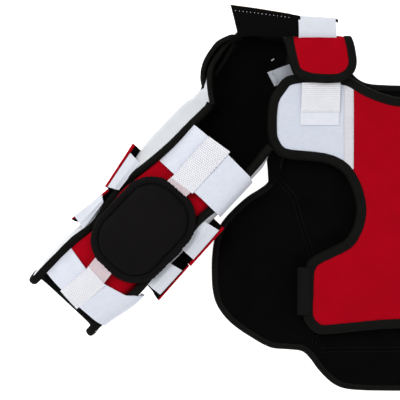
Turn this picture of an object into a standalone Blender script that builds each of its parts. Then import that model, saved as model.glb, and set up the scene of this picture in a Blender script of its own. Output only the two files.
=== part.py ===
"""Chest protector with two hanging arm guards, laid open on its front face.

The wearer's head is at +Y and the outer face of the chest is down. Lengths below are in
millimetres and each mesh is written in metres. The left side is modelled; the right mirrors it.
"""

import math

import bmesh
import bpy
from mathutils import Matrix, Vector

MM = 0.001
GAP = 0.3
LAYER_GAP = 0.8
WELD_DISTANCE = 1e-6
CUTTER_MARGIN = 5
SMOOTH_STEPS = 2

# Levels, from the ground up.
CHEST_COVER_TOP = 3.0
CHEST_FOAM_TOP = 20.7
CHEST_LINING_TOP = 24.0
CHEST_BINDING_TOP = 25.5
BACK_BOTTOM = 34.0
BACK_LINING_TOP = 35.5
BACK_FOAM_TOP = 42.7
BACK_COVER_TOP = 45.0
BACK_BINDING_TOP = 46.6
TAB_BOTTOM = 47.2
TAB_TOP = 49.2
TONGUE_BOTTOM = 50.0
TONGUE_TOP = 58.0

CHEST_BINDING_WIDTH = 8.0
BACK_BINDING_WIDTH = 12.0
FOAM_CHANNEL = 1.0

# Half outlines run from the neck down the wearer's left side to the hem.
CHEST_HALF = [
    (0, 152), (-50, 153), (-76, 157), (-92, 172), (-98, 199), (-140, 202.5), (-174, 199),
    (-178, 160), (-182, 100), (-190, 55), (-203, 23), (-229, 5), (-260, -25), (-274, -55),
    (-277, -100), (-272, -135), (-253, -162), (-222, -184), (-195, -197), (-157, -201),
    (-138, -222), (-121, -240), (-98, -251), (-50, -253.5), (0, -253.5),
]
BACK_HALF = [
    (0, 133), (-40, 135), (-74, 147), (-100, 161), (-140, 165), (-177, 162), (-192, 148),
    (-203, 126), (-204, 82), (-190, 58), (-165, 52), (-130, 48), (-105, 34), (-91, 3),
    (-90, -24), (-104, -52), (-141, -71), (-155, -88), (-157, -120), (-157, -154),
    (-143, -172), (-122, -175), (-60, -169), (0, -167),
]
SIDE_SEAM = [(-196, 40), (-169, 3), (-160, -27), (-146, -72), (-140, -173), (-143, -195)]
NECK_SEAM_X = -85.0
SHOULDER_SEAM_Y = 128.0
ABDOMEN_SEAM_Y = -195.0
LOBE_SEAM_X = -99.0
LOBE_BOTTOM_Y = 45.0
BEYOND = 310.0  # past every edge of the torso

# Shoulder: the tongue stands up against the shoulder's end, turns over it and ends in a round tip.
FOLD_Y = 203.2
FOLD_RADIUS = 9.3
FOLD_BOTTOM = 12.0
# Each row is a distance from the neck line and the left and right edge there.
TONGUE_TIP_Y = 151
TONGUE_ROWS = [(TONGUE_TIP_Y, -138, -120), (154, -155, -108), (160, -170, -97), (172, -176, -91),
               (190, -181, -92), (FOLD_Y, -183, -96)]
TONGUE_PAD_ROWS = [(161.5, -146, -118), (165, -158, -107), (172, -164, -102.5), (190, -170, -102.5),
                   (FOLD_Y, -172.5, -106)]
TONGUE_BINDING_RADIUS = 4.5
TAB_X = (-160, -110.5)
TAB_Y = (97, 149.5)
HOOK_X = (-165, -116.5)
# The elastic loop, as distance and height, from the top of the fold round to the shoulder's end.
HOOK_PATH = [(213.2, 59.6), (218, 60.6), (228, 60.6), (234, 58.5), (238.5, 53), (238, 46.5), (232, 38),
             (224, 29), (218, 21), (216, 14)]
HOOK_THICKNESS = 1.5
FOLD_STEPS = 4
FLAP_CORNERS = [(-253, 254, 48), (-165.5, 238, 64.5), (-164, 211, 64.5), (-243, 217.5, 48)]
FLAP_THICKNESS = 3.0

# Joint points: the shoulder swings at the hook, the elbow bends about a line across the arm.
SHOULDER_PIVOT = (-165, 224, 60)
LIFT_AXIS = (0, 208, 54)
TAB_AXIS = (-135, 150, 49.5)
ELBOW = (-361.4, -28.6, 0)
ARM_ANGLE = 227.0
ELBOW_HEIGHT = 42.0
NOTCH_HALF_ANGLE = 23.0
NOTCH_HALF_GAP = 1.5

# Arm stations: distance along the arm from the elbow, then the cross-section there.
# Columns: along, left top, left bulge, right bulge, right top, wall height.
UPPER_STATIONS = [(-172, -45, -62, 56, 53, 60), (-134, -49, -73, 58, 54, 66), (-100, -53, -76, 62, 58, 70),
                  (-64, -57, -65, 63, 60, 70), (0, -62, -64, 63, 62, 70)]
FORE_STATIONS = [(0, -62, -64, 63, 62, 70), (64, -60, -64, 58, 55, 68), (100, -58, -63, 53, 50, 64),
                 (158, -56, -61, 49, 46, 56)]
ARM_FLOOR = 4.0
SHELL_THICKNESS = 6.0
LINING_THICKNESS = 2.5
LINER_THICKNESS = 1.5
PLATE_THICKNESS = 3.0
PLATE_PROFILE = [(-82, 56), (-75, 46), (-71, 30), (-54, 5), (0, 0), (54, 5), (70, 30), (73, 46), (79, 56)]
UPPER_PLATE = (-60, 0)
FORE_PLATE = (0, 62)
# The liner under the elbow pad hangs between the arm's walls.
LINER_PATH = [(-50.5, 60), (-45, 62.5), (-38, 63.5), (0, 64.5), (36, 63.5), (44, 61), (49, 56)]
LINER_REACH = (-64, 89.5)
LINER_END_SCALE = 0.82  # its width at the wrist end, as a share of that at the elbow

# Shoulder cap stations: left rim x, y, z, then right rim x, y, z, then floor height.
CAP_STATIONS = [
    ((-279, 131, 58), (-203, 65, 31), 4), ((-284, 150, 54), (-196, 85, 29), 3),
    ((-280, 175, 48), (-188, 120, 28), 3), ((-267, 200, 42), (-187, 160, 28), 4),
    ((-247, 215, 38), (-188, 195, 28), 8), ((-222, 219.5, 34), (-196, 216, 29), 18),
]
CAP_THICKNESS = 7.0
# Shares of the way across the cap, and how far down to its floor the bowl is there.
CAP_BOWL = [(0.03, 0.45), (0.22, 0.92), (0.5, 1.0), (0.78, 0.92), (0.97, 0.45)]
DELTOID_PATH = [(-288, 140), (-290.5, 158), (-289, 177), (-282, 194), (-270, 209), (-254, 220)]
DELTOID_THICKNESS = 5.0
DELTOID_LEVELS = (10, 52)

# Bands over the arm opening: the path across the arm, then the reach along it.
UPPER_BAND_PATH = [(-39, 62), (-30, 72), (-5, 77), (30, 77), (58, 73.5), (67, 68), (70, 50), (70, 34)]
UPPER_BAND_REACH = (-134, -66)
FORE_BAND_PATH = [(-44, 58), (-34, 68), (-5, 73), (25, 73), (48, 70), (57, 64), (60, 46), (60, 30)]
FORE_BAND_REACH = (91, 137)
BAND_THICKNESS = 2.0
PAD_CENTER = (9, 4)
PAD_HALF = (69, 53)
PAD_CORNER = 44
PAD_CORNER_STEPS = 5
PAD_LEVELS = (73, 86)
UPPER_WEBBING = ((-137, -61), (-16, 17), 79.5)
FORE_WEBBING = ((79, 142), (-21, 12), 76)
WEBBING_THICKNESS = 1.5

STRAP_THICKNESS = 1.7
SIDE_STRAP = ((-164, -148.5), (-150, -88))
TAPE = ((-105.5, -92.5), (50, 140))

MIRROR = Matrix.Scale(-1, 4, (1, 0, 0))
SIDES = {"left": Matrix.Identity(4), "right": MIRROR}
ARM_FRAME = Matrix.Translation(Vector(ELBOW) * MM) @ Matrix.Rotation(math.radians(ARM_ANGLE), 4, "Z")

COLOURS = {
    "black_lining": ((0.012, 0.012, 0.013), 0.95),
    "black_cover": ((0.02, 0.02, 0.022), 0.6),
    "black_binding": ((0.03, 0.03, 0.03), 0.8),
    "red_fabric": ((0.42, 0.006, 0.018), 0.75),
    "white_loop": ((0.68, 0.71, 0.8), 0.95),
    "white_webbing": ((0.83, 0.84, 0.88), 0.8),
    "white_shell": ((0.72, 0.74, 0.76), 0.45),
    "grey_foam": ((0.2, 0.2, 0.2), 0.9),
}


def clear_scene():
    for obj in list(bpy.data.objects):
        bpy.data.objects.remove(obj, do_unlink=True)


def new_collection(name):
    collection = bpy.data.collections.new(name)
    bpy.context.scene.collection.children.link(collection)
    return collection


def new_material(name):
    colour, roughness = COLOURS[name]
    material = bpy.data.materials.new(name)
    material.use_nodes = True
    shader = material.node_tree.nodes["Principled BSDF"]
    shader.inputs["Base Color"].default_value = (*colour, 1.0)
    shader.inputs["Roughness"].default_value = roughness
    shader.inputs["Metallic"].default_value = 0.0
    return material


def catmull(a, b, c, d, t):
    """The point at t between b and c on the smooth curve through four points."""
    return tuple(
        0.5 * (2 * q + (r - p) * t + (2 * p - 5 * q + 4 * r - s) * t * t + (3 * q - p - 3 * r + s) * t**3)
        for p, q, r, s in zip(a, b, c, d)
    )


def smooth_loop(points, steps):
    count = len(points)
    return [
        catmull(points[i - 1], points[i], points[(i + 1) % count], points[(i + 2) % count], step / steps)
        for i in range(count)
        for step in range(steps)
    ]


def smooth_path(points, steps):
    last = len(points) - 1
    path = [
        catmull(points[max(i - 1, 0)], points[i], points[i + 1], points[min(i + 2, last)], step / steps)
        for i in range(last)
        for step in range(steps)
    ]
    return path + [points[last]]


def whole(half):
    """The closed outline made of a left half and its mirror image."""
    return half + [(-x, y) for x, y in reversed(half) if x != 0]


def shifted(points, distance, closed=True):
    """The outline or path moved to its left by a distance, so inwards on a counter-clockwise loop."""
    count = len(points)
    moved = []
    for i, point in enumerate(points):
        before = points[i - 1] if closed or i > 0 else point
        after = points[(i + 1) % count] if closed or i < count - 1 else point
        along = (Vector(after) - Vector(before)).normalized()
        moved.append((point[0] - along.y * distance, point[1] + along.x * distance))
    return moved


def fold_point(x, along, height):
    """A point on the tongue: along is measured from its tip, height from its underside."""
    flat = FOLD_Y - TONGUE_TIP_Y
    if along <= flat:
        return (x, TONGUE_TIP_Y + along, TONGUE_BOTTOM + height)
    angle = min((along - flat) / FOLD_RADIUS, math.pi / 2)
    drop = along - flat - angle * FOLD_RADIUS
    radius = FOLD_RADIUS - (TONGUE_TOP - TONGUE_BOTTOM) + height
    level = TONGUE_TOP - FOLD_RADIUS + radius * math.cos(angle) - drop
    return (x, FOLD_Y + radius * math.sin(angle), level)


class Builder:
    def __init__(self):
        clear_scene()
        self.parts = new_collection("chest_protector")
        self.cutters = new_collection("cutters")
        self.materials = {name: new_material(name) for name in COLOURS}
        self.pivots = {}

    def pivot(self, name, point, side="left"):
        empty = bpy.data.objects.new(name, None)
        empty.matrix_world = Matrix.Translation(SIDES[side] @ (Vector(point) * MM))
        self.parts.objects.link(empty)
        self.pivots[name] = empty.matrix_world.copy()
        return empty

    def place(self, obj, material, frame, pivot):
        obj.data.materials.append(self.materials[material])
        self.parts.objects.link(obj)
        if pivot:
            obj.parent = bpy.data.objects[pivot]
            obj.matrix_parent_inverse = self.pivots[pivot].inverted()
        obj.matrix_basis = frame
        return obj

    def plate(self, name, loops, bottom, top, material, frame=Matrix.Identity(4), pivot=None):
        """A flat piece: the first loop is its outline, and any others are holes."""
        curve = bpy.data.curves.new(name, "CURVE")
        curve.dimensions = "2D"
        curve.fill_mode = "BOTH"
        curve.extrude = (top - bottom) / 2 * MM
        for loop in loops:
            spline = curve.splines.new("POLY")
            spline.points.add(len(loop) - 1)
            for point, (x, y) in zip(spline.points, loop):
                point.co = (x * MM, y * MM, 0, 1)
            spline.use_cyclic_u = True
        obj = bpy.data.objects.new(name, curve)
        level = Matrix.Translation((0, 0, (bottom + top) / 2 * MM))
        return self.place(obj, material, frame @ level, pivot)

    def as_mesh(self, obj):
        """The same object with its curve made a mesh whose caps are welded."""
        bpy.context.view_layer.update()
        evaluated = obj.evaluated_get(bpy.context.evaluated_depsgraph_get())
        mesh = bpy.data.meshes.new_from_object(evaluated)
        name = obj.name
        matrix = obj.matrix_world.copy()
        parent = obj.parent
        inverse = obj.matrix_parent_inverse.copy()
        basis = obj.matrix_basis.copy()
        bpy.data.objects.remove(obj, do_unlink=True)
        solid = bpy.data.objects.new(name, mesh)
        self.parts.objects.link(solid)
        if parent:
            solid.parent = parent
            solid.matrix_parent_inverse = inverse
            solid.matrix_basis = basis
        else:
            solid.matrix_world = matrix
        weld_mesh(mesh)
        return solid

    def cut_from(self, name, loop, region, bottom, top, material, frame=Matrix.Identity(4), pivot=None):
        """The part of a flat piece that lies inside a region."""
        solid = self.as_mesh(self.plate(name, [loop], bottom, top, material, frame, pivot))
        cutter = self.as_mesh(self.plate(name + "_region", [region], bottom - CUTTER_MARGIN,
                                       top + CUTTER_MARGIN, material, frame))
        self.parts.objects.unlink(cutter)
        self.cutters.objects.link(cutter)
        cutter.hide_render = True
        cutter.display_type = "WIRE"
        keep = solid.modifiers.new("region", "BOOLEAN")
        keep.operation = "INTERSECT"
        keep.object = cutter
        return solid

    def sheet(self, name, rows, thickness, material, frame=Matrix.Identity(4), pivot=None):
        """A shell: rows of points across an open surface, thickened to the side away from its normals."""
        width = len(rows[0])
        points = [Vector(point) * MM for row in rows for point in row]
        faces = [
            (i * width + j, i * width + j + 1, (i + 1) * width + j + 1, (i + 1) * width + j)
            for i in range(len(rows) - 1)
            for j in range(width - 1)
        ]
        mesh = bpy.data.meshes.new(name)
        mesh.from_pydata(points, [], faces)
        obj = bpy.data.objects.new(name, mesh)
        solidify = obj.modifiers.new("thickness", "SOLIDIFY")
        solidify.thickness = thickness * MM
        solidify.offset = -1.0
        solidify.use_even_offset = True
        obj = self.place(obj, material, frame, pivot)
        mesh.shade_smooth()
        return obj

    def tube(self, name, points, radius, material, frame=Matrix.Identity(4), pivot=None):
        curve = bpy.data.curves.new(name, "CURVE")
        curve.dimensions = "3D"
        curve.bevel_depth = radius * MM
        curve.bevel_resolution = 1
        curve.use_fill_caps = True
        spline = curve.splines.new("POLY")
        spline.points.add(len(points) - 1)
        for point, place in zip(spline.points, points):
            point.co = (*(Vector(place) * MM), 1)
        return self.place(bpy.data.objects.new(name, curve), material, frame, pivot)


def weld_mesh(mesh):
    work = bmesh.new()
    work.from_mesh(mesh)
    bmesh.ops.remove_doubles(work, verts=work.verts, dist=WELD_DISTANCE)
    work.to_mesh(mesh)
    work.free()


def rectangle(x_range, y_range):
    (left, right), (bottom, top) = x_range, y_range
    return [(left, bottom), (right, bottom), (right, top), (left, top)]


def rounded_rectangle(center, half, radius, steps):
    loop = []
    for corner in range(4):
        sign_x = 1 if corner in (0, 3) else -1
        sign_y = 1 if corner in (0, 1) else -1
        middle_x = center[0] + sign_x * (half[0] - radius)
        middle_y = center[1] + sign_y * (half[1] - radius)
        for step in range(steps + 1):
            angle = math.pi / 2 * (corner + step / steps)
            loop.append((middle_x + radius * math.cos(angle), middle_y + radius * math.sin(angle)))
    return loop


def mirrored_region(region, side):
    return region if side == "left" else [(-x, y) for x, y in reversed(region)]


def make_chest(build):
    outline = smooth_loop(whole(CHEST_HALF), SMOOTH_STEPS)
    edge = shifted(outline, CHEST_BINDING_WIDTH)
    inside = shifted(outline, CHEST_BINDING_WIDTH + GAP)
    foam = (CHEST_COVER_TOP + GAP, CHEST_FOAM_TOP)
    build.plate("chest_outer_cover", [inside], 0, CHEST_COVER_TOP, "black_cover")
    build.plate("chest_lining", [inside], CHEST_FOAM_TOP + GAP, CHEST_LINING_TOP, "black_lining")
    build.plate("chest_binding", [outline, edge], 1.5, CHEST_BINDING_TOP, "black_binding")

    centre_half = [(0, BEYOND), (NECK_SEAM_X, BEYOND), (NECK_SEAM_X, SHOULDER_SEAM_Y),
                   (-BEYOND, SHOULDER_SEAM_Y)]
    centre_half += SIDE_SEAM + [(0, ABDOMEN_SEAM_Y)]
    build.cut_from("chest_foam_center", inside, whole(centre_half), *foam, "grey_foam")
    abdomen_top = ABDOMEN_SEAM_Y - FOAM_CHANNEL
    abdomen_half = [(0, abdomen_top), (SIDE_SEAM[-1][0], abdomen_top), (-152, -202), (-165, -203),
                    (-165, -BEYOND), (0, -BEYOND)]
    build.cut_from("chest_foam_abdomen", inside, whole(abdomen_half), *foam, "grey_foam")
    seam = [(x - FOAM_CHANNEL, y) for x, y in SIDE_SEAM]
    wing = [(-BEYOND, seam[0][1])] + seam + [(-153, -201), (-165, -202), (-BEYOND, -215)]
    strap_x = (-BEYOND, NECK_SEAM_X - FOAM_CHANNEL)
    shoulder = rectangle(strap_x, (SHOULDER_SEAM_Y + FOAM_CHANNEL, BEYOND))
    for side in SIDES:
        for name, region in (("chest_foam_side", list(reversed(wing))), ("chest_foam_shoulder", shoulder)):
            build.cut_from(f"{name}_{side}", inside, mirrored_region(region, side), *foam, "grey_foam")


def make_back(build):
    outline = smooth_loop(whole(BACK_HALF), SMOOTH_STEPS)
    edge = shifted(outline, BACK_BINDING_WIDTH)
    inside = shifted(outline, BACK_BINDING_WIDTH + GAP)
    cover = (BACK_FOAM_TOP + GAP, BACK_COVER_TOP)
    build.pivot("back_panel_pivot", LIFT_AXIS)
    on_back = {"pivot": "back_panel_pivot"}
    build.plate("back_lining", [inside], BACK_BOTTOM, BACK_LINING_TOP, "black_lining", **on_back)
    build.plate("back_foam", [inside], BACK_LINING_TOP + GAP, BACK_FOAM_TOP, "grey_foam", **on_back)
    build.plate("back_binding", [outline, edge], BACK_BOTTOM, BACK_BINDING_TOP, "black_binding", **on_back)
    red_half = [(0, BEYOND), (LOBE_SEAM_X, BEYOND), (LOBE_SEAM_X, LOBE_BOTTOM_Y), (-BEYOND, LOBE_BOTTOM_Y),
                (-BEYOND, -BEYOND), (0, -BEYOND)]
    build.cut_from("back_cover", inside, whole(red_half), *cover, "red_fabric", **on_back)
    lobe = rectangle((-BEYOND, LOBE_SEAM_X - GAP), (LOBE_BOTTOM_Y + GAP, BEYOND))
    for side, mirror in SIDES.items():
        patch = mirrored_region(lobe, side)
        build.cut_from(f"loop_patch_{side}", inside, patch, *cover, "white_loop", **on_back)
        tape_levels = (BACK_COVER_TOP + GAP, BACK_BINDING_TOP - GAP)
        build.plate(f"seam_tape_{side}", [rectangle(*TAPE)], *tape_levels, "white_webbing", mirror,
                    **on_back)
        strap_levels = (BACK_BINDING_TOP + GAP, BACK_BINDING_TOP + GAP + STRAP_THICKNESS)
        build.plate(f"side_strap_{side}", [rectangle(*SIDE_STRAP)], *strap_levels, "black_binding", mirror,
                    **on_back)


def round_the_fold(flat_rows):
    """Distances from the tip with the left and right edge there, carried on round the fold and down."""
    rows = [(y - TONGUE_TIP_Y, left, right) for y, left, right in flat_rows]
    flat, left, right = rows[-1]
    turn = math.pi / 2 * FOLD_RADIUS
    for step in range(1, FOLD_STEPS + 1):
        rows.append((flat + turn * step / FOLD_STEPS, left, right))
    drop = TONGUE_TOP - FOLD_RADIUS - FOLD_BOTTOM
    rows.append((flat + turn + drop, left, right))
    return rows


def make_shoulders(build):
    thickness = TONGUE_TOP - TONGUE_BOTTOM
    middle = thickness / 2
    edges = round_the_fold(TONGUE_ROWS)
    pad_edges = round_the_fold(TONGUE_PAD_ROWS)
    for side, mirror in SIDES.items():
        rows = []
        for along, left, right in pad_edges:
            across = [left + (right - left) * share for share in (0, 0.25, 0.5, 0.75, 1)]
            rows.append([fold_point(x, along, thickness) for x in across])
        on_back = {"pivot": "back_panel_pivot"}
        build.sheet(f"shoulder_tongue_{side}", rows, thickness, "red_fabric", mirror, **on_back)
        radius = TONGUE_BINDING_RADIUS
        left_run = [fold_point(left + radius, max(along, radius), middle)
                    for along, left, _ in reversed(edges)]
        right_run = [fold_point(right - radius, max(along, radius), middle)
                     for along, _, right in edges]
        build.tube(f"tongue_binding_{side}", left_run + right_run, radius, "black_binding", mirror,
                   **on_back)

        build.pivot(f"tab_pivot_{side}", TAB_AXIS, side)
        build.plate(f"shoulder_tab_{side}", [rectangle(TAB_X, TAB_Y)], TAB_BOTTOM, TAB_TOP, "white_webbing",
                    mirror, f"tab_pivot_{side}")

        hook_rows = [[(x, y, z) for x in HOOK_X] for y, z in HOOK_PATH]
        build.sheet(f"hanger_hook_{side}", hook_rows, HOOK_THICKNESS, "white_webbing", mirror)

        build.pivot(f"shoulder_pivot_{side}", SHOULDER_PIVOT, side)
        far_left, far_right, near_right, near_left = FLAP_CORNERS
        flap_rows = [[near_left, near_right], [far_left, far_right]]
        build.sheet(f"hanger_flap_{side}", flap_rows, FLAP_THICKNESS, "black_binding", mirror,
                    f"shoulder_pivot_{side}")


def arm_profile(left_top, left_bulge, right_bulge, right_top, height):
    """Half-open cross-section of an arm shell, from its left edge round its floor to its right edge."""
    floor = ARM_FLOOR
    rise = height - floor
    control = [
        (left_top, height), (left_bulge, floor + 0.6 * rise), (left_bulge + 2, floor + 0.34 * rise),
        (left_bulge * 0.72, floor + 0.06 * rise), (0, floor), (right_bulge * 0.72, floor + 0.06 * rise),
        (right_bulge - 2, floor + 0.34 * rise), (right_bulge, floor + 0.6 * rise), (right_top, height),
    ]
    return smooth_path(control, SMOOTH_STEPS)


def notched(along, level, is_forearm):
    """The distance along the arm, kept clear of the wedge above the elbow that closes as it bends."""
    wedge = NOTCH_HALF_GAP + max(0.0, level - ELBOW_HEIGHT) * math.tan(math.radians(NOTCH_HALF_ANGLE))
    return max(along, wedge) if is_forearm else min(along, -wedge)


def arm_rows(stations, depth, start, end):
    """Rows of surface points at a depth inside the arm shell, between two distances along the arm."""
    places = sorted({start, end} | {row[0] for row in stations if start < row[0] < end})
    rows = []
    for place in places:
        profile = shifted(arm_profile(*section_at(stations, place)), depth, closed=False)
        rows.append([(notched(place, z, stations is FORE_STATIONS), v, z) for v, z in profile])
    return rows


def section_at(stations, place):
    for first, second in zip(stations, stations[1:]):
        if first[0] <= place <= second[0]:
            t = (place - first[0]) / (second[0] - first[0])
            return [a + (b - a) * t for a, b in zip(first[1:], second[1:])]
    raise ValueError(f"no arm section at {place}")


def make_arm_shells(build, side, frame):
    shells = (("upper_arm", UPPER_STATIONS, f"shoulder_pivot_{side}"),
              ("forearm", FORE_STATIONS, f"elbow_pivot_{side}"))
    for name, stations, pivot in shells:
        first, last = stations[0][0], stations[-1][0]
        rows = arm_rows(stations, 0, first, last)
        build.sheet(f"{name}_shell_{side}", rows, SHELL_THICKNESS, "white_shell", frame, pivot)
        rows = arm_rows(stations, SHELL_THICKNESS + LAYER_GAP, first, last)
        build.sheet(f"{name}_lining_{side}", rows, LINING_THICKNESS, "black_lining", frame, pivot)
        path = list(reversed(smooth_path(LINER_PATH, SMOOTH_STEPS)))
        is_forearm = stations is FORE_STATIONS
        ends = ((0, 1), (LINER_REACH[1], LINER_END_SCALE)) if is_forearm else ((LINER_REACH[0], 1), (0, 1))
        rows = [[(notched(along, z, is_forearm), v * scale, z) for v, z in path] for along, scale in ends]
        build.sheet(f"{name}_liner_{side}", rows, LINER_THICKNESS, "red_fabric", frame, pivot)
    plates = (("elbow_plate_upper", UPPER_PLATE, shells[0][2]),
              ("elbow_plate_lower", FORE_PLATE, shells[1][2]))
    for name, reach, pivot in plates:
        profile = smooth_path(PLATE_PROFILE, SMOOTH_STEPS)
        rows = [[(notched(along, z, reach is FORE_PLATE), v, z) for v, z in profile] for along in reach]
        build.sheet(f"{name}_{side}", rows, PLATE_THICKNESS, "red_fabric", frame, pivot)


def make_bands(build, side, frame):
    upper_pivot = f"shoulder_pivot_{side}"
    fore_pivot = f"elbow_pivot_{side}"
    bands = (("upper_band", UPPER_BAND_PATH, UPPER_BAND_REACH, upper_pivot),
             ("forearm_band", FORE_BAND_PATH, FORE_BAND_REACH, fore_pivot))
    for name, path, reach, pivot in bands:
        profile = list(reversed(smooth_path(path, SMOOTH_STEPS)))
        rows = [[(along, v, z) for v, z in profile] for along in reach]
        build.sheet(f"{name}_{side}", rows, BAND_THICKNESS, "white_loop", frame, pivot)
    for name, (reach, width, level), pivot in (("upper_webbing", UPPER_WEBBING, upper_pivot),
                                               ("forearm_webbing", FORE_WEBBING, fore_pivot)):
        build.plate(f"{name}_{side}", [rectangle(reach, width)], level, level + WEBBING_THICKNESS,
                    "white_webbing", frame, pivot)
    pad = rounded_rectangle(PAD_CENTER, PAD_HALF, PAD_CORNER, PAD_CORNER_STEPS)
    build.plate(f"elbow_pad_{side}", [pad], *PAD_LEVELS, "black_binding", frame, fore_pivot)


def cap_profile(left, right, floor):
    """Points across the shoulder cap from one rim to the other, round its floor."""
    left, right = Vector(left), Vector(right)
    control = [left]
    for share, depth in CAP_BOWL:
        rim = left.lerp(right, share)
        control.append(Vector((rim.x, rim.y, rim.z + (floor - rim.z) * depth)))
    control.append(right)
    return smooth_path([tuple(point) for point in control], SMOOTH_STEPS)


def make_cap(build, side, mirror):
    pivot = f"shoulder_pivot_{side}"
    rows = [list(reversed(cap_profile(left, right, floor))) for left, right, floor in CAP_STATIONS]
    build.sheet(f"shoulder_cap_{side}", rows, CAP_THICKNESS, "black_lining", mirror, pivot)
    inner = smooth_path(DELTOID_PATH, SMOOTH_STEPS)
    outer = shifted(inner, -DELTOID_THICKNESS, closed=False)
    build.plate(f"deltoid_flap_{side}", [inner + list(reversed(outer))], *DELTOID_LEVELS, "black_binding",
                mirror, pivot)


def make_arms(build):
    for side, mirror in SIDES.items():
        build.pivot(f"elbow_pivot_{side}", (ELBOW[0], ELBOW[1], ELBOW_HEIGHT), side)
        frame = mirror @ ARM_FRAME
        make_cap(build, side, mirror)
        make_arm_shells(build, side, frame)
        make_bands(build, side, frame)


def main():
    build = Builder()
    make_chest(build)
    make_back(build)
    make_shoulders(build)
    make_arms(build)


main()
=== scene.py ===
"""Looks for the chest protector: padded panels, bound edges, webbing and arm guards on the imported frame.

Lengths are in millimetres until a mesh is made. The wearer's left side is built and the right mirrors it.
"""

import math

import bmesh
import bpy
import numpy as np
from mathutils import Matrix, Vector, geometry, noise


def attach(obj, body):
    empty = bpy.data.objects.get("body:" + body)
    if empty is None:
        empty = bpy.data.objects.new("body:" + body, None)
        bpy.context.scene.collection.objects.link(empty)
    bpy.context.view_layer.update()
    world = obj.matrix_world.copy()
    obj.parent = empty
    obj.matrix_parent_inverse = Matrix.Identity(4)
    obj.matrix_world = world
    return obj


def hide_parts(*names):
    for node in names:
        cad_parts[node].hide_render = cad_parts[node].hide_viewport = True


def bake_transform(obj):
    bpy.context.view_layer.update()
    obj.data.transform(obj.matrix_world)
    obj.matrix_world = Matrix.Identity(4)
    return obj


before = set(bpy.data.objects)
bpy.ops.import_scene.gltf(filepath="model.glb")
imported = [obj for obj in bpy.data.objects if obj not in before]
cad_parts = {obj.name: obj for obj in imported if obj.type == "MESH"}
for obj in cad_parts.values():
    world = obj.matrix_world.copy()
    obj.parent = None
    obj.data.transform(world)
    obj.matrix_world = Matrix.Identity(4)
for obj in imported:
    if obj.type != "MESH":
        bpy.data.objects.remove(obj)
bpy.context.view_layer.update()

MM = 0.001
FINE = 1.0

# Bodies of the frame.
CHEST = "front_protector"
BACK = "back_panel"
TAB = "shoulder_tab_left"
UPPER = "upper_arm_left"
FORE = "forearm_left"

# Torso, as places seen from above. The side seam runs from the armhole to the hem.
SIDE_SEAM = [(-200, 44), (-184, 22), (-169, 3), (-160, -27), (-151, -53), (-145, -75), (-140, -120),
             (-140, -173), (-143, -199)]
ABDOMEN_SEAM = [(-143, -199), (-100, -197.5), (0, -197), (100, -197.5), (143, -199)]
CENTRE_CREASE = [(-152, -49), (-132, -54), (-108, -56)]
CHEST_BINDING_WIDTH = 9.5
BACK_BINDING_WIDTH = 12.5
LOBE_SEAM_X = -99.0
TAPE_X = (-105.7, -92.7)
TAPE_Y = (40.0, 151.0)

CHEST_MIDDLE = 10.7  # height of the chest's edge tape
BACK_MIDDLE = 39.8
SEAM_HALF = 2.6  # from a seam to the rows of stitches beside it

# Tongue: it lies on the back panel from its tip to the fold, and then stands up the shoulder's end.
TONGUE_TIP_Y = 151.0
TONGUE_FOLD_Y = 203.2
TONGUE_FOLD_RADIUS = 9.3
TONGUE_BOTTOM = 50.0
TONGUE_TOP = 58.0
TONGUE_END = 106.0
TONGUE_BLEND = (CHEST, BACK, (0, 210, 25), (0, 200, 56))
TONGUE_EDGE = [(-183, 212.5), (-182, 200), (-179, 186), (-176.5, 175), (-171.5, 163), (-162, 156.5),
               (-148.7, 152.6), (-128.7, 151), (-112, 152.4), (-100, 158), (-92.5, 167), (-90, 179),
               (-92, 195), (-95.5, 212.5)]

# Arm cross-sections: along the arm, left top, left bulge, right bulge, right top, height of the walls.
ARM_STATIONS = [(-200, -77, -77.5, 57, 54, 55), (-190, -71.5, -73.5, 57, 54, 56),
                (-180, -61, -69, 57, 53.5, 58), (-170, -48, -66, 57, 53.5, 60),
                (-160, -40.5, -67, 60.5, 54, 61), (-148, -41.5, -69.5, 62.5, 54, 64),
                (-134, -42.5, -70.5, 62, 54, 66), (-100, -42.7, -71, 60.5, 55, 70),
                (-85, -44.5, -71, 60.5, 54.5, 71), (-70, -46.5, -70, 60.5, 52.5, 71),
                (-50, -50, -67, 60, 47.5, 71), (-30, -55, -65, 61, 50.5, 71),
                (-10, -57, -62.5, 62, 55.5, 71), (6, -57.5, -60.5, 62, 56.5, 71),
                (18, -56, -59.5, 61, 54.5, 70.5), (32, -50, -58.5, 59, 53, 70),
                (45, -48, -58.5, 57.5, 52.5, 69), (58, -50, -60, 56.5, 54.5, 68),
                (70, -53.5, -62, 57, 56, 67), (82, -55.5, -64, 56.5, 55.5, 65.5),
                (100, -56, -64.5, 53, 50.5, 63), (140, -58, -63.5, 49.5, 47, 58),
                (162, -57, -62, 47.5, 45, 55)]
ARM_FLOOR = 4.0
SHELL_THICKNESS = 5.0
LINING_GAP = 0.3
LINING_THICKNESS = 2.5
ELBOW_DIP = 13.0  # how far the walls dip at the elbow
ELBOW_REACH = 44.0
WRIST_MIDDLE = 151.5
COLUMNS = 45  # points round the arm's cross-section
SHELL_ROWS = 110
LINING_ROWS = 74
PAD_CENTER = (9.0, 4.0)
PAD_HALF = (69.0, 53.0)
PAD_CORNER = 45.0
PAD_RIM = 9.5


# ---------------------------------------------------------------- curves and outlines


def run_of(points):
    """Distance along a path of each of its points."""
    return np.concatenate([[0], np.cumsum(np.linalg.norm(np.diff(points, axis=0), axis=1))])


def sample(values, run, at):
    """The values of a path's points at new distances along it."""
    return np.stack([np.interp(at, run, column) for column in np.asarray(values).T], axis=-1)


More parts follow.
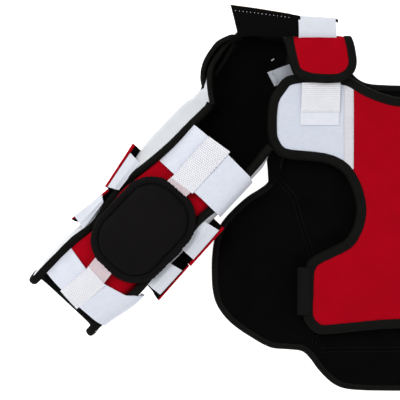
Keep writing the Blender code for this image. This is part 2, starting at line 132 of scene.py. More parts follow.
def spline(points, spacing, closed=False):
    """Points at an even spacing along the smooth curve through the given ones."""
    points = np.array(points, float)
    count = len(points)
    dense = []
    for i in range(count if closed else count - 1):
        if closed:
            a, b, c, d = (points[(i + k) % count] for k in (-1, 0, 1, 2))
        else:
            a, b, c, d = (points[min(max(i + k, 0), count - 1)] for k in (-1, 0, 1, 2))
        for t in np.arange(12) / 12:
            dense.append(0.5 * (2 * b + (c - a) * t + (2 * a - 5 * b + 4 * c - d) * t**2
                                + (3 * b - a - 3 * c + d) * t**3))
    dense.append(points[0] if closed else points[-1])
    dense = np.array(dense)
    run = run_of(dense)
    steps = max(3, int(round(run[-1] / spacing)))
    return sample(dense, run, np.linspace(0, run[-1], steps + 1)[: steps if closed else None])


def spread(points, count):
    """A set number of points along the smooth curve through the given ones."""
    fine = spline(points, 0.5)
    run = run_of(fine)
    return sample(fine, run, np.linspace(0, run[-1], count))


def turned(points, closed):
    """Unit directions to the left of a plane path."""
    if closed:
        along = np.roll(points, -1, axis=0) - np.roll(points, 1, axis=0)
    else:
        along = np.gradient(points, axis=0)
    along = unit(along)
    return np.stack([-along[:, 1], along[:, 0]], axis=1)


def unit(vectors):
    return vectors / np.linalg.norm(vectors, axis=-1, keepdims=True)


def upward(path):
    """The direction +Z for each point of a path."""
    return np.tile([0.0, 0.0, 1.0], (len(path), 1))


def shifted(points, distance, closed=True):
    """A plane path moved to its left."""
    return points + turned(points, closed) * distance


def outline_of(node):
    """The outer loop of a flat node's top face, counter-clockwise."""
    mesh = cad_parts[node].data
    top = max(vertex.co.z for vertex in mesh.vertices)
    place = {}
    following = {}
    seen = set()
    for polygon in mesh.polygons:
        corners = [mesh.vertices[i].co for i in polygon.vertices]
        if min(corner.z for corner in corners) < top - 1e-5:
            continue
        keys = [(round(corner.x / MM, 2), round(corner.y / MM, 2)) for corner in corners]
        for key, corner in zip(keys, corners):
            place[key] = (corner.x / MM, corner.y / MM)
        seen.update(zip(keys, keys[1:] + keys[:1]))
    for start, end in seen:
        if (end, start) not in seen:
            following[start] = end
    best = []
    while following:
        start, end = next(iter(following.items()))
        loop = []
        while start in following:
            loop.append(place[start])
            start = following.pop(start)
        if not best or area_of(np.array(loop)) > area_of(np.array(best)):
            best = loop
    return np.array(best)


def area_of(loop):
    x, y = loop[:, 0], loop[:, 1]
    return 0.5 * float(np.sum(x * np.roll(y, -1) - y * np.roll(x, -1)))


def distance_to(points, path, closed=True):
    """Distance of each point from a path in the plane."""
    path = np.asarray(path, float)
    ends = np.roll(path, -1, axis=0) if closed else path[1:]
    starts = path if closed else path[:-1]
    best = np.full(len(points), 1e9)
    for a, b in zip(starts, ends):
        line = b - a
        t = np.clip(((points - a) @ line) / max(line @ line, 1e-9), 0, 1)
        best = np.minimum(best, np.hypot(*(points - a - t[:, None] * line).T))
    return best


def inside(points, loop):
    found = np.zeros(len(points), bool)
    x, y = points[:, 0], points[:, 1]
    for (x0, y0), (x1, y1) in zip(loop, np.roll(loop, -1, axis=0)):
        crosses = (y0 > y) != (y1 > y)
        with np.errstate(divide="ignore", invalid="ignore"):
            found ^= crosses & (x < (x1 - x0) * (y - y0) / (y1 - y0) + x0)
    return found


def smoothstep(t):
    t = np.clip(t, 0, 1)
    return t * t * (3 - 2 * t)


def pillow(distance, width):
    """0 at a seam, rising steeply and levelling off to 1 at the given width."""
    t = 1 - np.clip(distance / width, 0, 1)
    return np.sqrt(np.clip(1 - t * t, 0, 1))


def groove(distance, width):
    return np.exp(-((distance / width) ** 2))


def wavy(x, y, z):
    """Smooth noise from -1 to 1."""
    return noise.noise(Vector((x, y, z)))


def ripple(points, size, seed=0.0):
    """Smooth noise at each point, with features of about the given size."""
    return np.array([wavy(p[0] / size, p[1] / size, (p[2] / size if len(p) > 2 else 0) + seed)
                     for p in points])


# ---------------------------------------------------------------- mesh making


def add_object(name, data):
    obj = bpy.data.objects.new(name, data)
    bpy.context.scene.collection.objects.link(obj)
    return obj


def make(name, points, faces, uvs, material):
    """A mesh object from points in millimetres, with its cloth direction in the UV map."""
    mesh = bpy.data.meshes.new(name)
    mesh.from_pydata([tuple(p * MM) for p in np.asarray(points, float)], [],
                     [tuple(map(int, f)) for f in faces])
    work = bmesh.new()
    work.from_mesh(mesh)
    bmesh.ops.recalc_face_normals(work, faces=work.faces)
    work.to_mesh(mesh)
    work.free()
    layer = mesh.uv_layers.new(name="cloth")
    corners = np.empty(len(mesh.loops), int)
    mesh.loops.foreach_get("vertex_index", corners)
    layer.data.foreach_set("uv", (np.asarray(uvs, float)[corners] * MM).ravel())
    mesh.shade_smooth()
    mesh.set_sharp_from_angle(angle=math.radians(50))
    mesh.materials.append(material)
    return add_object(name, mesh)


def triangulate(outline, spacing, creases=()):
    """Even triangles inside an outline, with extra rows of points along creases."""
    low, high = outline.min(0), outline.max(0)
    rows = []
    for k, y in enumerate(np.arange(low[1], high[1], spacing * 0.87)):
        x = np.arange(low[0], high[0], spacing) + (k % 2) * spacing / 2
        rows.append(np.stack([x, np.full_like(x, y)], axis=1))
    grid = np.concatenate(rows)
    grid = grid[inside(grid, outline)]
    grid = grid[distance_to(grid, outline) > 0.6 * spacing]
    extra = []
    for crease, closed in creases:
        grid = grid[distance_to(grid, crease, closed) > 3.4]
        for offset in (-SEAM_HALF, -1.2, 0, 1.2, SEAM_HALF):
            extra.append(shifted(crease, offset, closed))
    if extra:
        extra = np.concatenate(extra)
        extra = extra[inside(extra, outline)]
        extra = extra[distance_to(extra, outline) > 1.0]
        grid = np.concatenate([grid, extra])
    points = [Vector(p) for p in np.concatenate([outline, grid])]
    edges = [(i, (i + 1) % len(outline)) for i in range(len(outline))]
    points, _, faces, *_ = geometry.delaunay_2d_cdt(points, edges, [], 1, 1e-3)
    return np.array([tuple(p) for p in points]), np.array([tuple(f) for f in faces if len(f) == 3])


def slab(name, plane, faces, top, bottom, material):
    """A closed piece between two heights over the given triangles."""
    used = np.unique(faces)
    renumber = np.full(len(plane), -1)
    renumber[used] = np.arange(len(used))
    faces = renumber[faces]
    plane, top, bottom = plane[used], top[used], bottom[used]
    count = len(used)
    faces_of = [heights if heights.ndim == 2 else np.column_stack([plane, heights])
                for heights in (top, bottom)]
    points = np.concatenate(faces_of)
    directed = {(f[i], f[(i + 1) % 3]) for f in faces for i in range(3)}
    walls = [(a, b, b + count, a + count) for a, b in directed if (b, a) not in directed]
    under = [(f[0] + count, f[2] + count, f[1] + count) for f in faces]
    uvs = np.concatenate([plane, plane])
    return make(name, points, [tuple(f) for f in faces] + under + walls, uvs, material)


def lengths_along(rows):
    """Cloth coordinates of a grid: distances across and along it."""
    rows = np.asarray(rows, float)
    across = np.concatenate([np.zeros((rows.shape[0], 1)),
                             np.cumsum(np.linalg.norm(np.diff(rows, axis=1), axis=2), axis=1)], axis=1)
    across -= across[:, -1:] / 2
    along = np.concatenate([np.zeros((1, rows.shape[1])),
                            np.cumsum(np.linalg.norm(np.diff(rows, axis=0), axis=2), axis=0)], axis=0)
    return np.stack([across, along], axis=2)


def grid_normals(rows):
    rows = np.asarray(rows, float)
    down = np.gradient(rows, axis=0)
    across = np.gradient(rows, axis=1)
    normal = np.cross(across, down)
    return normal / np.maximum(np.linalg.norm(normal, axis=2, keepdims=True), 1e-9)


def cloth(name, rows, thickness, material, back=None):
    """A closed sheet: a grid of points and, a thickness behind it (or at the back grid), its other face."""
    rows = np.asarray(rows, float)
    behind = rows - grid_normals(rows) * thickness if back is None else np.asarray(back, float)
    height, width = rows.shape[:2]
    count = height * width
    points = np.concatenate([rows.reshape(-1, 3), behind.reshape(-1, 3)])
    uv = lengths_along(rows).reshape(-1, 2)
    faces = []
    for i in range(height - 1):
        for j in range(width - 1):
            a, b = i * width + j, i * width + j + 1
            c, d = b + width, a + width
            faces.append((a, b, c, d))
            faces.append((a + count, d + count, c + count, b + count))
    rim = list(range(width)) + [i * width + width - 1 for i in range(1, height)]
    rim += [(height - 1) * width + j for j in range(width - 2, -1, -1)]
    rim += [i * width for i in range(height - 2, 0, -1)]
    for a, b in zip(rim, rim[1:] + rim[:1]):
        faces.append((a, a + count, b + count, b))
    return make(name, points, faces, np.concatenate([uv, uv]), material)


def sweep(name, path, inward, normal, profile, material, closed=True, lumps=0.0):
    """A closed cross-section, given as inward and outward distances, swept along a path."""
    path, inward, normal = (np.asarray(a, float) for a in (path, inward, normal))
    profile = np.asarray(profile, float)
    count, sides = len(path), len(profile)
    swell = 1 + lumps * ripple(path, 9.0)
    points = (path[:, None] + inward[:, None] * profile[None, :, :1] * swell[:, None, None]
              + normal[:, None] * profile[None, :, 1:] * swell[:, None, None])
    uv = np.stack(np.broadcast_arrays(run_of(profile)[None, :], run_of(path)[:, None]), axis=2)
    faces = []
    for i in range(count if closed else count - 1):
        for j in range(sides):
            a, b = i * sides + j, i * sides + (j + 1) % sides
            k = (i + 1) % count * sides
            faces.append((a, b, k + (j + 1) % sides, k + j))
    if not closed:
        faces.append(tuple(range(sides)))
        faces.append(tuple((count - 1) * sides + j for j in range(sides)))
    return make(name, points.reshape(-1, 3), faces, uv.reshape(-1, 2), material)


def oval(half_width, half_height, sides=14):
    angles = np.arange(sides) / sides * 2 * math.pi
    return np.stack([half_width * np.cos(angles), half_height * np.sin(angles)], axis=1)


def stitches(name, path, normal, material, pitch=3.4, length=2.3, radius=0.32, closed=False):
    """A row of raised threads along a path."""
    path, normal = np.asarray(path, float), np.asarray(normal, float)
    if closed:
        path, normal = np.concatenate([path, path[:1]]), np.concatenate([normal, normal[:1]])
    run = run_of(path)
    points, faces, uvs = [], [], []
    for middle in np.arange(pitch, run[-1] - pitch / 2, pitch):
        ends = [sample(path, run, middle + half) for half in (-length / 2, length / 2)]
        up = sample(normal, run, middle)
        along = (ends[1] - ends[0]) / max(np.linalg.norm(ends[1] - ends[0]), 1e-6)
        side = np.cross(up, along)
        base = len(points)
        for t, share, lift in ((0, 0.35, -0.25), (0.25, 1.0, 0.1), (0.75, 1.0, 0.1), (1, 0.35, -0.25)):
            centre = ends[0] * (1 - t) + ends[1] * t + up * lift
            for k in range(5):
                angle = 2 * math.pi * k / 5
                points.append(centre + radius * share * (side * math.cos(angle) + up * math.sin(angle)))
                uvs.append((radius * angle, length * t))
        for ring in range(3):
            for k in range(5):
                a, b = base + ring * 5 + k, base + ring * 5 + (k + 1) % 5
                faces.append((a, b, b + 5, a + 5))
        faces.append(tuple(base + k for k in range(5)))
        faces.append(tuple(base + 15 + k for k in range(5)))
    return make(name, points, faces, uvs, material)


# ---------------------------------------------------------------- materials


class Shader:
    """A Principled material whose pattern nodes are added one call at a time."""

    def __init__(self, name, colour, roughness, specular=0.1):
        self.material = bpy.data.materials.new(name)
        self.material.use_nodes = True
        self.tree = self.material.node_tree
        self.bsdf = self.tree.nodes["Principled BSDF"]
        self.colour = (*colour, 1)
        self.bsdf.inputs["Base Color"].default_value = self.colour
        self.bsdf.inputs["Roughness"].default_value = roughness
        self.bsdf.inputs["Specular IOR Level"].default_value = specular
        self.uv = self.node("ShaderNodeUVMap", uv_map="cloth").outputs["UV"]
        self.place = self.node("ShaderNodeTexCoord").outputs["Object"]
        self.height = None

    def node(self, kind, inputs=None, **settings):
        made = self.tree.nodes.new(kind)
        for key, value in settings.items():
            setattr(made, key, value)
        for key, value in (inputs or {}).items():
            if isinstance(value, bpy.types.NodeSocket):
                self.tree.links.new(value, made.inputs[key])
            else:
                made.inputs[key].default_value = value
        return made

    def math(self, operation, a, b):
        return self.node("ShaderNodeMath", {0: a, 1: b}, operation=operation).outputs[0]

    def mix(self, blend_type, factor, first, second):
        """The node's colour sockets are 6 and 7, and its colour output is 2."""
        inputs = {0: factor, 6: first, 7: second}
        return self.node("ShaderNodeMix", inputs, data_type="RGBA", blend_type=blend_type).outputs[2]

    def noise(self, size_mm, detail=3.0, roughness=0.55):
        inputs = {"Scale": 1.0 / (size_mm * MM), "Detail": detail, "Roughness": roughness,
                  "Vector": self.place}
        return self.node("ShaderNodeTexNoise", inputs).outputs["Fac"]

    def cells(self, size_mm):
        inputs = {"Scale": 1 / (size_mm * MM), "Vector": self.place}
        return self.node("ShaderNodeTexVoronoi", inputs).outputs["Distance"]

    def turned_uv(self, degrees):
        rotation = (0, 0, math.radians(degrees))
        return self.node("ShaderNodeMapping", {"Vector": self.uv, "Rotation": rotation}).outputs["Vector"]

    def ribs(self, period_mm, direction="X"):
        """Rounded ribs, from 0 between them to 1 on them. The wave texture has 3.14 waves in ten units."""
        inputs = {"Scale": 0.314 / (period_mm * MM), "Vector": self.uv}
        return self.node("ShaderNodeTexWave", inputs, bands_direction=direction).outputs["Fac"]

    def bricks(self, length_mm, width_mm, gap, where):
        """A woven pattern of staggered floats, from 0 in the gaps to 1 on the yarns."""
        inputs = {"Scale": 1.0 / (length_mm * MM), "Mortar Size": gap, "Mortar Smooth": 1.0,
                  "Brick Width": 1.0, "Row Height": width_mm / length_mm, "Vector": where}
        return self.math("SUBTRACT", 1.0, self.node("ShaderNodeTexBrick", inputs).outputs["Fac"])

    def tint(self, pattern, dark, low=0.0, high=1.0):
        """Darkens the colour towards dark times itself where the pattern is low."""
        place = self.node("ShaderNodeMapRange", {"Value": pattern, "From Min": low, "From Max": high})
        shade = self.mix("MIX", place.outputs[0], (*dark, 1), (1, 1, 1, 1))
        self.colour = self.mix("MULTIPLY", 1.0, self.colour, shade)
        self.tree.links.new(self.colour, self.bsdf.inputs["Base Color"])

    def raise_by(self, pattern, amount_mm):
        """Adds a relief of the given depth to the bump."""
        scaled = self.math("MULTIPLY", pattern, amount_mm)
        self.height = scaled if self.height is None else self.math("ADD", self.height, scaled)
        return self

    def done(self, strength=1.0):
        if self.height is not None:
            bump = self.node("ShaderNodeBump",
                             {"Height": self.height, "Strength": strength, "Distance": MM})
            self.tree.links.new(bump.outputs["Normal"], self.bsdf.inputs["Normal"])
        return self.material


def knit(name, colour, roughness, thread, relief, blotch, specular=0.03):
    """Brushed knit cloth: fine crossing threads, fuzz and a slow change of tone."""
    shader = Shader(name, colour, roughness, specular)
    across, along = shader.ribs(thread, "X"), shader.ribs(thread * 1.25, "Y")
    weave = shader.math("MULTIPLY", across, along)
    fuzz = shader.noise(0.7, 4.0)
    shader.tint(shader.noise(34, 3.0), (1 - blotch,) * 3, 0.3, 0.7)
    shader.tint(weave, (0.80, 0.80, 0.80))
    shader.tint(fuzz, (0.86, 0.86, 0.86), 0.3, 0.65)
    shader.raise_by(weave, relief).raise_by(fuzz, relief * 0.9)
    return shader.done()


def velour(name, colour, relief=0.28):
    """Brushed loop pile: short fibres lying in patches."""
    shader = Shader(name, colour, 0.95)
    pile = shader.noise(1.3, 5.0, roughness=0.7)
    stroke = shader.noise(9.0, 3.0)
    shader.tint(stroke, (0.955, 0.96, 0.965), 0.35, 0.65)
    shader.tint(pile, (0.90, 0.905, 0.915), 0.35, 0.62)
    shader.raise_by(pile, relief).raise_by(shader.noise(0.5, 3.0), relief * 0.4)
    return shader.done()


def webbing(name, colour, length, width, gap, dark, relief, turn=0.0):
    """Woven tape: staggered floats of thick yarn with shaded gaps."""
    shader = Shader(name, colour, 0.72)
    where = shader.turned_uv(turn) if turn else shader.uv
    yarn = shader.bricks(length, width, gap, where)
    fuzz = shader.noise(0.5, 3.0)
    shader.tint(yarn, (dark,) * 3)
    shader.tint(shader.noise(14, 2.0), (0.965, 0.965, 0.97), 0.35, 0.65)
    shader.raise_by(yarn, relief).raise_by(fuzz, 0.05)
    return shader.done()


def ribbed(name, colour, period, dark, relief, direction="Y", roughness=0.8, blotch=0.06, specular=0.1):
    """Tape or elastic with ribs across it."""
    shader = Shader(name, colour, roughness, specular)
    rib = shader.ribs(period, direction)
    fuzz = shader.noise(0.6, 3.0)
    shader.tint(rib, (dark,) * 3)
    shader.tint(shader.noise(20, 3.0), (1 - blotch,) * 3, 0.3, 0.7)
    shader.tint(fuzz, (0.9, 0.9, 0.9), 0.3, 0.65)
    shader.raise_by(rib, relief).raise_by(fuzz, 0.06)
    return shader.done()


def coated(name, colour):
    """Smooth coated cloth with a fine pebbled grain and faint creases, with painted shade darkening the
    colour in the creases' troughs.
    """
    shader = Shader(name, colour, 0.46, specular=0.4)
    pebbles = shader.cells(0.9)
    crease = shader.noise(22, 4.0)
    # Painted shade: the colour darkens where the crease relief is low, in its troughs.
    shader.tint(crease, (0.955, 0.96, 0.965), 0.35, 0.6)
    shader.tint(pebbles, (0.97, 0.97, 0.975), 0.0, 0.5)
    shader.raise_by(pebbles, 0.05).raise_by(crease, 0.8)
    return shader.done(0.8)


def thread(name, colour):
    shader = Shader(name, colour, 0.6)
    twist = shader.ribs(0.7, "DIAGONAL")
    shader.tint(twist, (0.75, 0.75, 0.75))
    shader.raise_by(twist, 0.08)
    return shader.done()


def foam_edge(name, colour):
    shader = Shader(name, colour, 0.9)
    cells = shader.cells(0.8)
    shader.tint(cells, (0.8, 0.78, 0.74), 0.0, 0.6)
    shader.raise_by(cells, 0.15)
    return shader.done()


# After colour and roughness, a knit has thread spacing, relief and blotches.
LINING = knit("lining_tricot", (0.0033, 0.0029, 0.0031), 0.95, 1.4, 0.16, 0.3)
COVER = knit("cover_black", (0.0030, 0.0028, 0.0030), 0.8, 1.0, 0.08, 0.2, specular=0.04)
BINDING = ribbed("binding_tape", (0.0078, 0.0078, 0.0070), 1.0, 0.6, 0.10, roughness=0.72, blotch=0.25,
                 specular=0.05)
PAD_COVER = knit("pad_cover", (0.0072, 0.0062, 0.0068), 0.75, 0.9, 0.06, 0.2, specular=0.05)
ELASTIC_BLACK = ribbed("elastic_black", (0.0080, 0.0080, 0.0085), 1.3, 0.5, 0.16, specular=0.06)
RED = knit("red_knit", (0.475, 0.0014, 0.0100), 0.85, 0.9, 0.06, 0.11)
LOOP = velour("loop_velour", (0.665, 0.70, 0.79))
BAND = velour("band_velour", (0.735, 0.765, 0.85), 0.2)
WEBBING = webbing("woven_webbing", (0.93, 0.935, 0.985), 2.9, 2.5, 0.12, 0.74, 0.45)
WEBBING_PINK = webbing("woven_strip_over_red", (0.80, 0.66, 0.70), 2.2, 1.2, 0.1, 0.72, 0.28, 90.0)
TAPE = ribbed("ribbed_tape", (0.80, 0.80, 0.845), 1.6, 0.86, 0.25, "Y")
ELASTIC = ribbed("elastic_white", (0.77, 0.80, 0.875), 1.1, 0.93, 0.14, "X")
PLAIN_END = velour("tab_end", (0.77, 0.79, 0.85), 0.12)
STRAP_GREY = ribbed("strap_grey", (0.42, 0.44, 0.49), 1.3, 0.82, 0.18, "X")
SHELL = coated("coated_shell", (0.62, 0.64, 0.665))
THREAD_BLACK = thread("thread_black", (0.012, 0.012, 0.012))
THREAD_WHITE = thread("thread_white", (0.75, 0.75, 0.78))
RAW_EDGE = foam_edge("raw_edge_tan", (0.36, 0.27, 0.18))


# ---------------------------------------------------------------- placing on both sides


def move_points(mesh, change):
    """Puts all the points of a mesh where a function says."""
    co = np.empty(len(mesh.vertices) * 3)
    mesh.vertices.foreach_get("co", co)
    mesh.vertices.foreach_set("co", change(co.reshape(-1, 3)).ravel())
    mesh.update()


def mirrored(obj):
    """A copy of a left piece across the plane x = 0."""
    mesh = obj.data.copy()
    mesh.name = other(obj.name)
    move_points(mesh, lambda co: co * [-1, 1, 1])
    mesh.flip_normals()
    return add_object(mesh.name, mesh)


def cloth_size(obj):
    """(width, length, area) of the front face of a sheet, in metres, from its cloth coordinates."""
    mesh = obj.data
    uv = np.empty(len(mesh.loops) * 2)
    mesh.uv_layers["cloth"].data.foreach_get("uv", uv)
    size = np.ptp(uv.reshape(-1, 2), axis=0)
    area = sum(face.area for face in mesh.polygons) / 2
    return float(size[0]), float(size[1]), float(area)


def put(obj, body, nodes=(), fill=None, held=None, on=(), blend=None):
    """Rides a finished piece on its body, or bakes its place into its points when a blend is given, and
    hides the nodes given.

    The fill is not used, and for a held piece the cloth size is worked out but not used.
    """
    if blend:
        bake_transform(obj)
    else:
        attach(obj, body)
    if nodes:
        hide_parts(*nodes)
    if held:
        width, length, area = cloth_size(obj)
    return obj


def other(text):
    return text.replace("left", "right")


def put_both(obj, body, nodes=(), blend=None, on=(), **facts):
    """Places a left piece and its mirror image on the right."""
    twin = mirrored(obj)
    put(obj, body, nodes, blend=blend, on=on, **facts)
    twin_blend = None
    if blend:
        first, second, start, end = blend
        twin_blend = (other(first), other(second), (-start[0], *start[1:]), (-end[0], *end[1:]))
    put(twin, other(body), [other(n) for n in nodes], blend=twin_blend, on=[other(n) for n in on], **facts)
    return obj, twin


def sew(body, name, path, normal, *shape, thread_used=THREAD_BLACK, blend=None, closed=False):
    """A row of stitches. A row named left has its mirror image."""
    row = stitches(name, path, normal, thread_used, *shape, closed=closed)
    (put_both if "left" in name else put)(row, body, blend=blend)


def lay(name, rows, thickness, material, body, nodes=(), back=None, **facts):
    """A left piece of cloth and its mirror image, made from a grid."""
    put_both(cloth(name, rows, thickness, material, back=back), body, nodes, **facts)


def bind(name, path, inward, outward, profile, body, nodes=(), lumps=0.04, blend=None):
    """A left binding tape along an open edge, and its mirror image."""
    tape = sweep(name, path, inward, outward, profile, BINDING, closed=False, lumps=lumps)
    put_tape(tape, body, nodes, blend=blend, both=True)


# ---------------------------------------------------------------- torso


def wrap(width, half, thickness=1.1):
    """Cross-section of a tape folded round an edge, as inward distances and heights."""
    over = [(width, half - 1.1), (width * 0.82, half - 0.35), (width * 0.55, half),
            (width * 0.26, half * 0.97), (0.9, half * 0.74), (0, half * 0.3)]
    under = [(0.9 * thickness, half * 0.28), (0.9 + thickness, half * 0.62),
             (width * 0.3, half - thickness), (width - 0.2, half - 1.0 - thickness)]
    outside = over + [(x, -z) for x, z in reversed(over)]
    inside_face = [(x, -z) for x, z in reversed(under)] + under
    return outside + inside_face


def flat_binding(name, body, node, outline, width, middle, half, sag):
    """Binding tape round the edge of a flat panel, with stitches near its inner edge."""
    inward = turned(outline, True)
    heights = middle + sag(outline)
    path = np.column_stack([outline, heights])
    sides = np.column_stack([inward, np.zeros(len(outline))])
    up = upward(outline)
    tape = sweep(name, path, sides, up, wrap(width, half), BINDING, lumps=0.02)
    row = path + sides * (width - 2.4) + up * (half - 0.25)
    put_tape(tape, body, [node])
    sew(body, name + "_stitches", row, up, closed=True)


def nearest_run(points, path):
    """Distance along a closed path of the place nearest to each point."""
    step = np.linalg.norm(np.roll(path, -1, axis=0) - path, axis=1)
    run = np.concatenate([[0], np.cumsum(step)])[:-1]
    found = np.empty(len(points))
    for start in range(0, len(points), 2000):
        part = points[start : start + 2000]
        gap = np.linalg.norm(part[:, None] - path[None], axis=2)
        found[start : start + 2000] = run[np.argmin(gap, axis=1)]
    return found


def puckers(points, outline, distance, width, reach=15.0):
    """Gathers that run in from a bound edge and die away."""
    run = nearest_run(points, outline)
    lines = ripple(np.column_stack([run / 5.0, distance / 45.0]), 1.0, 7.0)
    return lines * np.exp(-np.clip(distance - width, 0, None) / reach)


def flip(path):
    return np.array([(-x, y) for x, y in path])


def distance_to_pair(points, line):
    """Distance of each point from a left line or its mirror image, whichever is nearer."""
    return np.minimum(distance_to(points, line, False), distance_to(points, flip(line), False))


CHEST_OUTLINE = spline(outline_of("chest_binding"), 3.2 * FINE, closed=True)
BACK_OUTLINE = spline(outline_of("back_binding"), 3.0 * FINE, closed=True)
SIDE_LINE = spline(SIDE_SEAM, 3.0)
ABDOMEN_LINE = spline(ABDOMEN_SEAM, 4.0)
CREASE_LINE = spline(CENTRE_CREASE, 4.0)


def no_sag(points):
    return np.zeros(len(points))


def back_sag(points):
    """The panel rests lower towards its hem, where nothing holds it up."""
    return -3.6 * smoothstep((-points[:, 1] - 40) / 120)


def chest_top(points, d):
    """Height of the lining: padded fields between sewn channels, falling to the bound edge."""
    field = np.minimum(distance_to_pair(points, SIDE_LINE), distance_to(points, ABDOMEN_LINE, False))
    crease = distance_to_pair(points, CREASE_LINE)
    unevenness = 0.6 * ripple(points, 62) + 0.35 * ripple(points, 19, 3.0)
    unevenness = unevenness + 0.5 * puckers(points, CHEST_OUTLINE, d, 8, 10)
    free = smoothstep((d - 6.5) / 7)
    return (16.2 + 1.2 * free + 3.6 * pillow(d - 7.5, 26) + 2.6 * pillow(field, 22) * smoothstep(d / 30)
            - 1.3 * groove(d - 13.5, 2.4) - 1.6 * groove(crease, 3.2) + free * unevenness)


def back_top(points):
    d = distance_to(points, BACK_OUTLINE)
    return (43.3 + 2.0 * pillow(d - 11, 30) + back_sag(points) + 0.45 * ripple(points, 70, 5.0)
            + 0.55 * puckers(points, BACK_OUTLINE, d, 12))


def make_chest():
    creases = [(SIDE_LINE, False), (flip(SIDE_LINE), False), (ABDOMEN_LINE, False), (CREASE_LINE, False),
               (flip(CREASE_LINE), False)]
    outline = shifted(CHEST_OUTLINE, 2.0)
    plane, faces = triangulate(outline, 4.2 * FINE, creases)
    d = distance_to(plane, CHEST_OUTLINE)
    top = chest_top(plane, d)
    middle = np.full(len(plane), CHEST_MIDDLE)
    bottom = 0.2 + 3.6 * (1 - pillow(d - 7.5, 26))
    lining = slab("chest_lining_pad", plane, faces, top, middle + 0.1, LINING)
    foam = ["chest_foam_center", "chest_foam_abdomen"]
    foam += [f"chest_foam_{part}_{side}" for part in ("side", "shoulder") for side in ("left", "right")]
    put(lining, CHEST, ["chest_lining", *foam], fill=0.55)
    outer = slab("chest_outer_pad", plane, faces, middle - 0.1, bottom, COVER)
    put(outer, CHEST, ["chest_outer_cover"], fill=0.55)
    flat_binding("chest_edge_binding", CHEST, "chest_binding", CHEST_OUTLINE,
                 CHEST_BINDING_WIDTH, CHEST_MIDDLE, 7.6, no_sag)
    for name, line in (("side_seam_left", SIDE_LINE), ("abdomen_seam", ABDOMEN_LINE)):
        for k, side in enumerate((-SEAM_HALF, SEAM_HALF)):
            path = shifted(line[2:-2], side, closed=False)
            heights = chest_top(path, distance_to(path, CHEST_OUTLINE)) + 0.25
            sew(CHEST, f"{name}_stitches_{k}", np.column_stack([path, heights]), upward(path), 4.2, 2.6)


def put_tape(tape, body, nodes=(), blend=None, both=False):
    """Places a binding tape on its body, with its mirror image when both is set."""
    _, length, area = cloth_size(tape)
    if both:
        pieces = put_both(tape, body, nodes, blend=blend)
    else:
        pieces = [put(tape, body, nodes)]


def make_back():
    divide = spline([(LOBE_SEAM_X, 10), (LOBE_SEAM_X, 175)], 2.5)
    outline = shifted(BACK_OUTLINE, 2.0)
    plane, faces = triangulate(outline, 3.6 * FINE, [(divide, False), (flip(divide), False)])
    top = back_top(plane)
    d = distance_to(plane, BACK_OUTLINE)
    bottom = 34.4 + 1.4 * (1 - pillow(d - 11, 20)) + back_sag(plane)
    middle = BACK_MIDDLE + back_sag(plane)
    centre = plane[faces].mean(axis=1)
    in_lobe = (np.abs(centre[:, 0]) > -LOBE_SEAM_X) & (centre[:, 1] > 0)
    cover = slab("back_cover_red", plane, faces[~in_lobe], top, middle + 0.1, RED)
    put(cover, BACK, ["back_cover"], fill=0.5)
    lobe = slab("loop_lobe_left", plane, faces[in_lobe & (centre[:, 0] < 0)], top, middle + 0.1, LOOP)
    put_both(lobe, BACK, ["loop_patch_left"], fill=0.4)
    lining = slab("back_lining_pad", plane, faces, middle - 0.1, bottom, LINING)
    put(lining, BACK, ["back_lining", "back_foam"], fill=0.5)
    flat_binding("back_edge_binding", BACK, "back_binding", BACK_OUTLINE, BACK_BINDING_WIDTH, BACK_MIDDLE,
                 6.2, back_sag)


def make_seam_tape():
    rows = []
    for y in np.arange(TAPE_Y[0], TAPE_Y[1], 1.6):
        edge = 0.35 * wavy(y / 2.2, 0, 0)
        x = np.array([TAPE_X[0], TAPE_X[0] + 0.5, -102, -99, -96, TAPE_X[1] - 0.5, TAPE_X[1] + edge])
        z = back_top(np.column_stack([x, np.full(7, y)])) + [0.35, 0.8, 0.95, 0.95, 0.95, 0.8, 0.35]
        rows.append(np.column_stack([x, np.full(7, y), z]))
    lay("seam_ribbon_left", rows, 0.7, TAPE, BACK, ["seam_tape_left"], held="laid",
        on=["back_cover_red"])
    for name, x in (("inner", TAPE_X[1] - 0.4), ("outer", TAPE_X[0] + 0.8)):
        y = np.arange(TAPE_Y[0] + 3, TAPE_Y[1] - 3, 1.5)
        zigzag = x + 0.85 * (np.arange(len(y)) % 2 * 2 - 1)
        z = back_top(np.column_stack([zigzag, y])) + 0.95
        sew(BACK, f"seam_ribbon_{name}_zigzag_left", np.column_stack([zigzag, y, z]), upward(y),
            2.26, 2.2, 0.3, thread_used=THREAD_WHITE)


def make_side_strap():
    path = [(-148.5, 46.3), (-152, 47.2), (-156, 47.1), (-160, 45.6), (-163.2, 42.4), (-164, 38.5),
            (-163, 34), (-159, 31.4), (-150, 30.2)]
    across = spread(path, 22)
    rows = []
    for y in np.linspace(-150, -88, 24):
        sag = back_sag(np.array([[0, y]]))[0]
        shift = 0.5 * wavy(y / 14, 3, 0)
        rows.append([(x + shift, y, z + sag) for x, z in across])
    lay("side_strap_elastic_left", rows, 1.4, ELASTIC_BLACK, BACK, ["side_strap_left"], held="folded",
        on=["back_edge_binding"])
    y = np.linspace(-147, -91, 30)
    sag = back_sag(np.column_stack([y * 0, y]))
    row = np.column_stack([y * 0 - 153.6, y, 47.5 + sag])
    sew(BACK, "side_strap_stitches_left", row, upward(row), 2.8, 1.9, 0.4)


# ---------------------------------------------------------------- shoulders


def on_fold(x, along, height):
    """A point of the tongue: along runs from its tip, round the fold and down to the shoulder's end."""
    flat = TONGUE_FOLD_Y - TONGUE_TIP_Y
    if along <= flat:
        return (x, TONGUE_TIP_Y + along, TONGUE_BOTTOM + height)
    angle = min((along - flat) / TONGUE_FOLD_RADIUS, math.pi / 2)
    drop = along - flat - angle * TONGUE_FOLD_RADIUS
    radius = TONGUE_FOLD_RADIUS - (TONGUE_TOP - TONGUE_BOTTOM) + height
    return (x, TONGUE_FOLD_Y + radius * math.sin(angle),
            TONGUE_TOP - TONGUE_FOLD_RADIUS + radius * math.cos(angle) - drop)


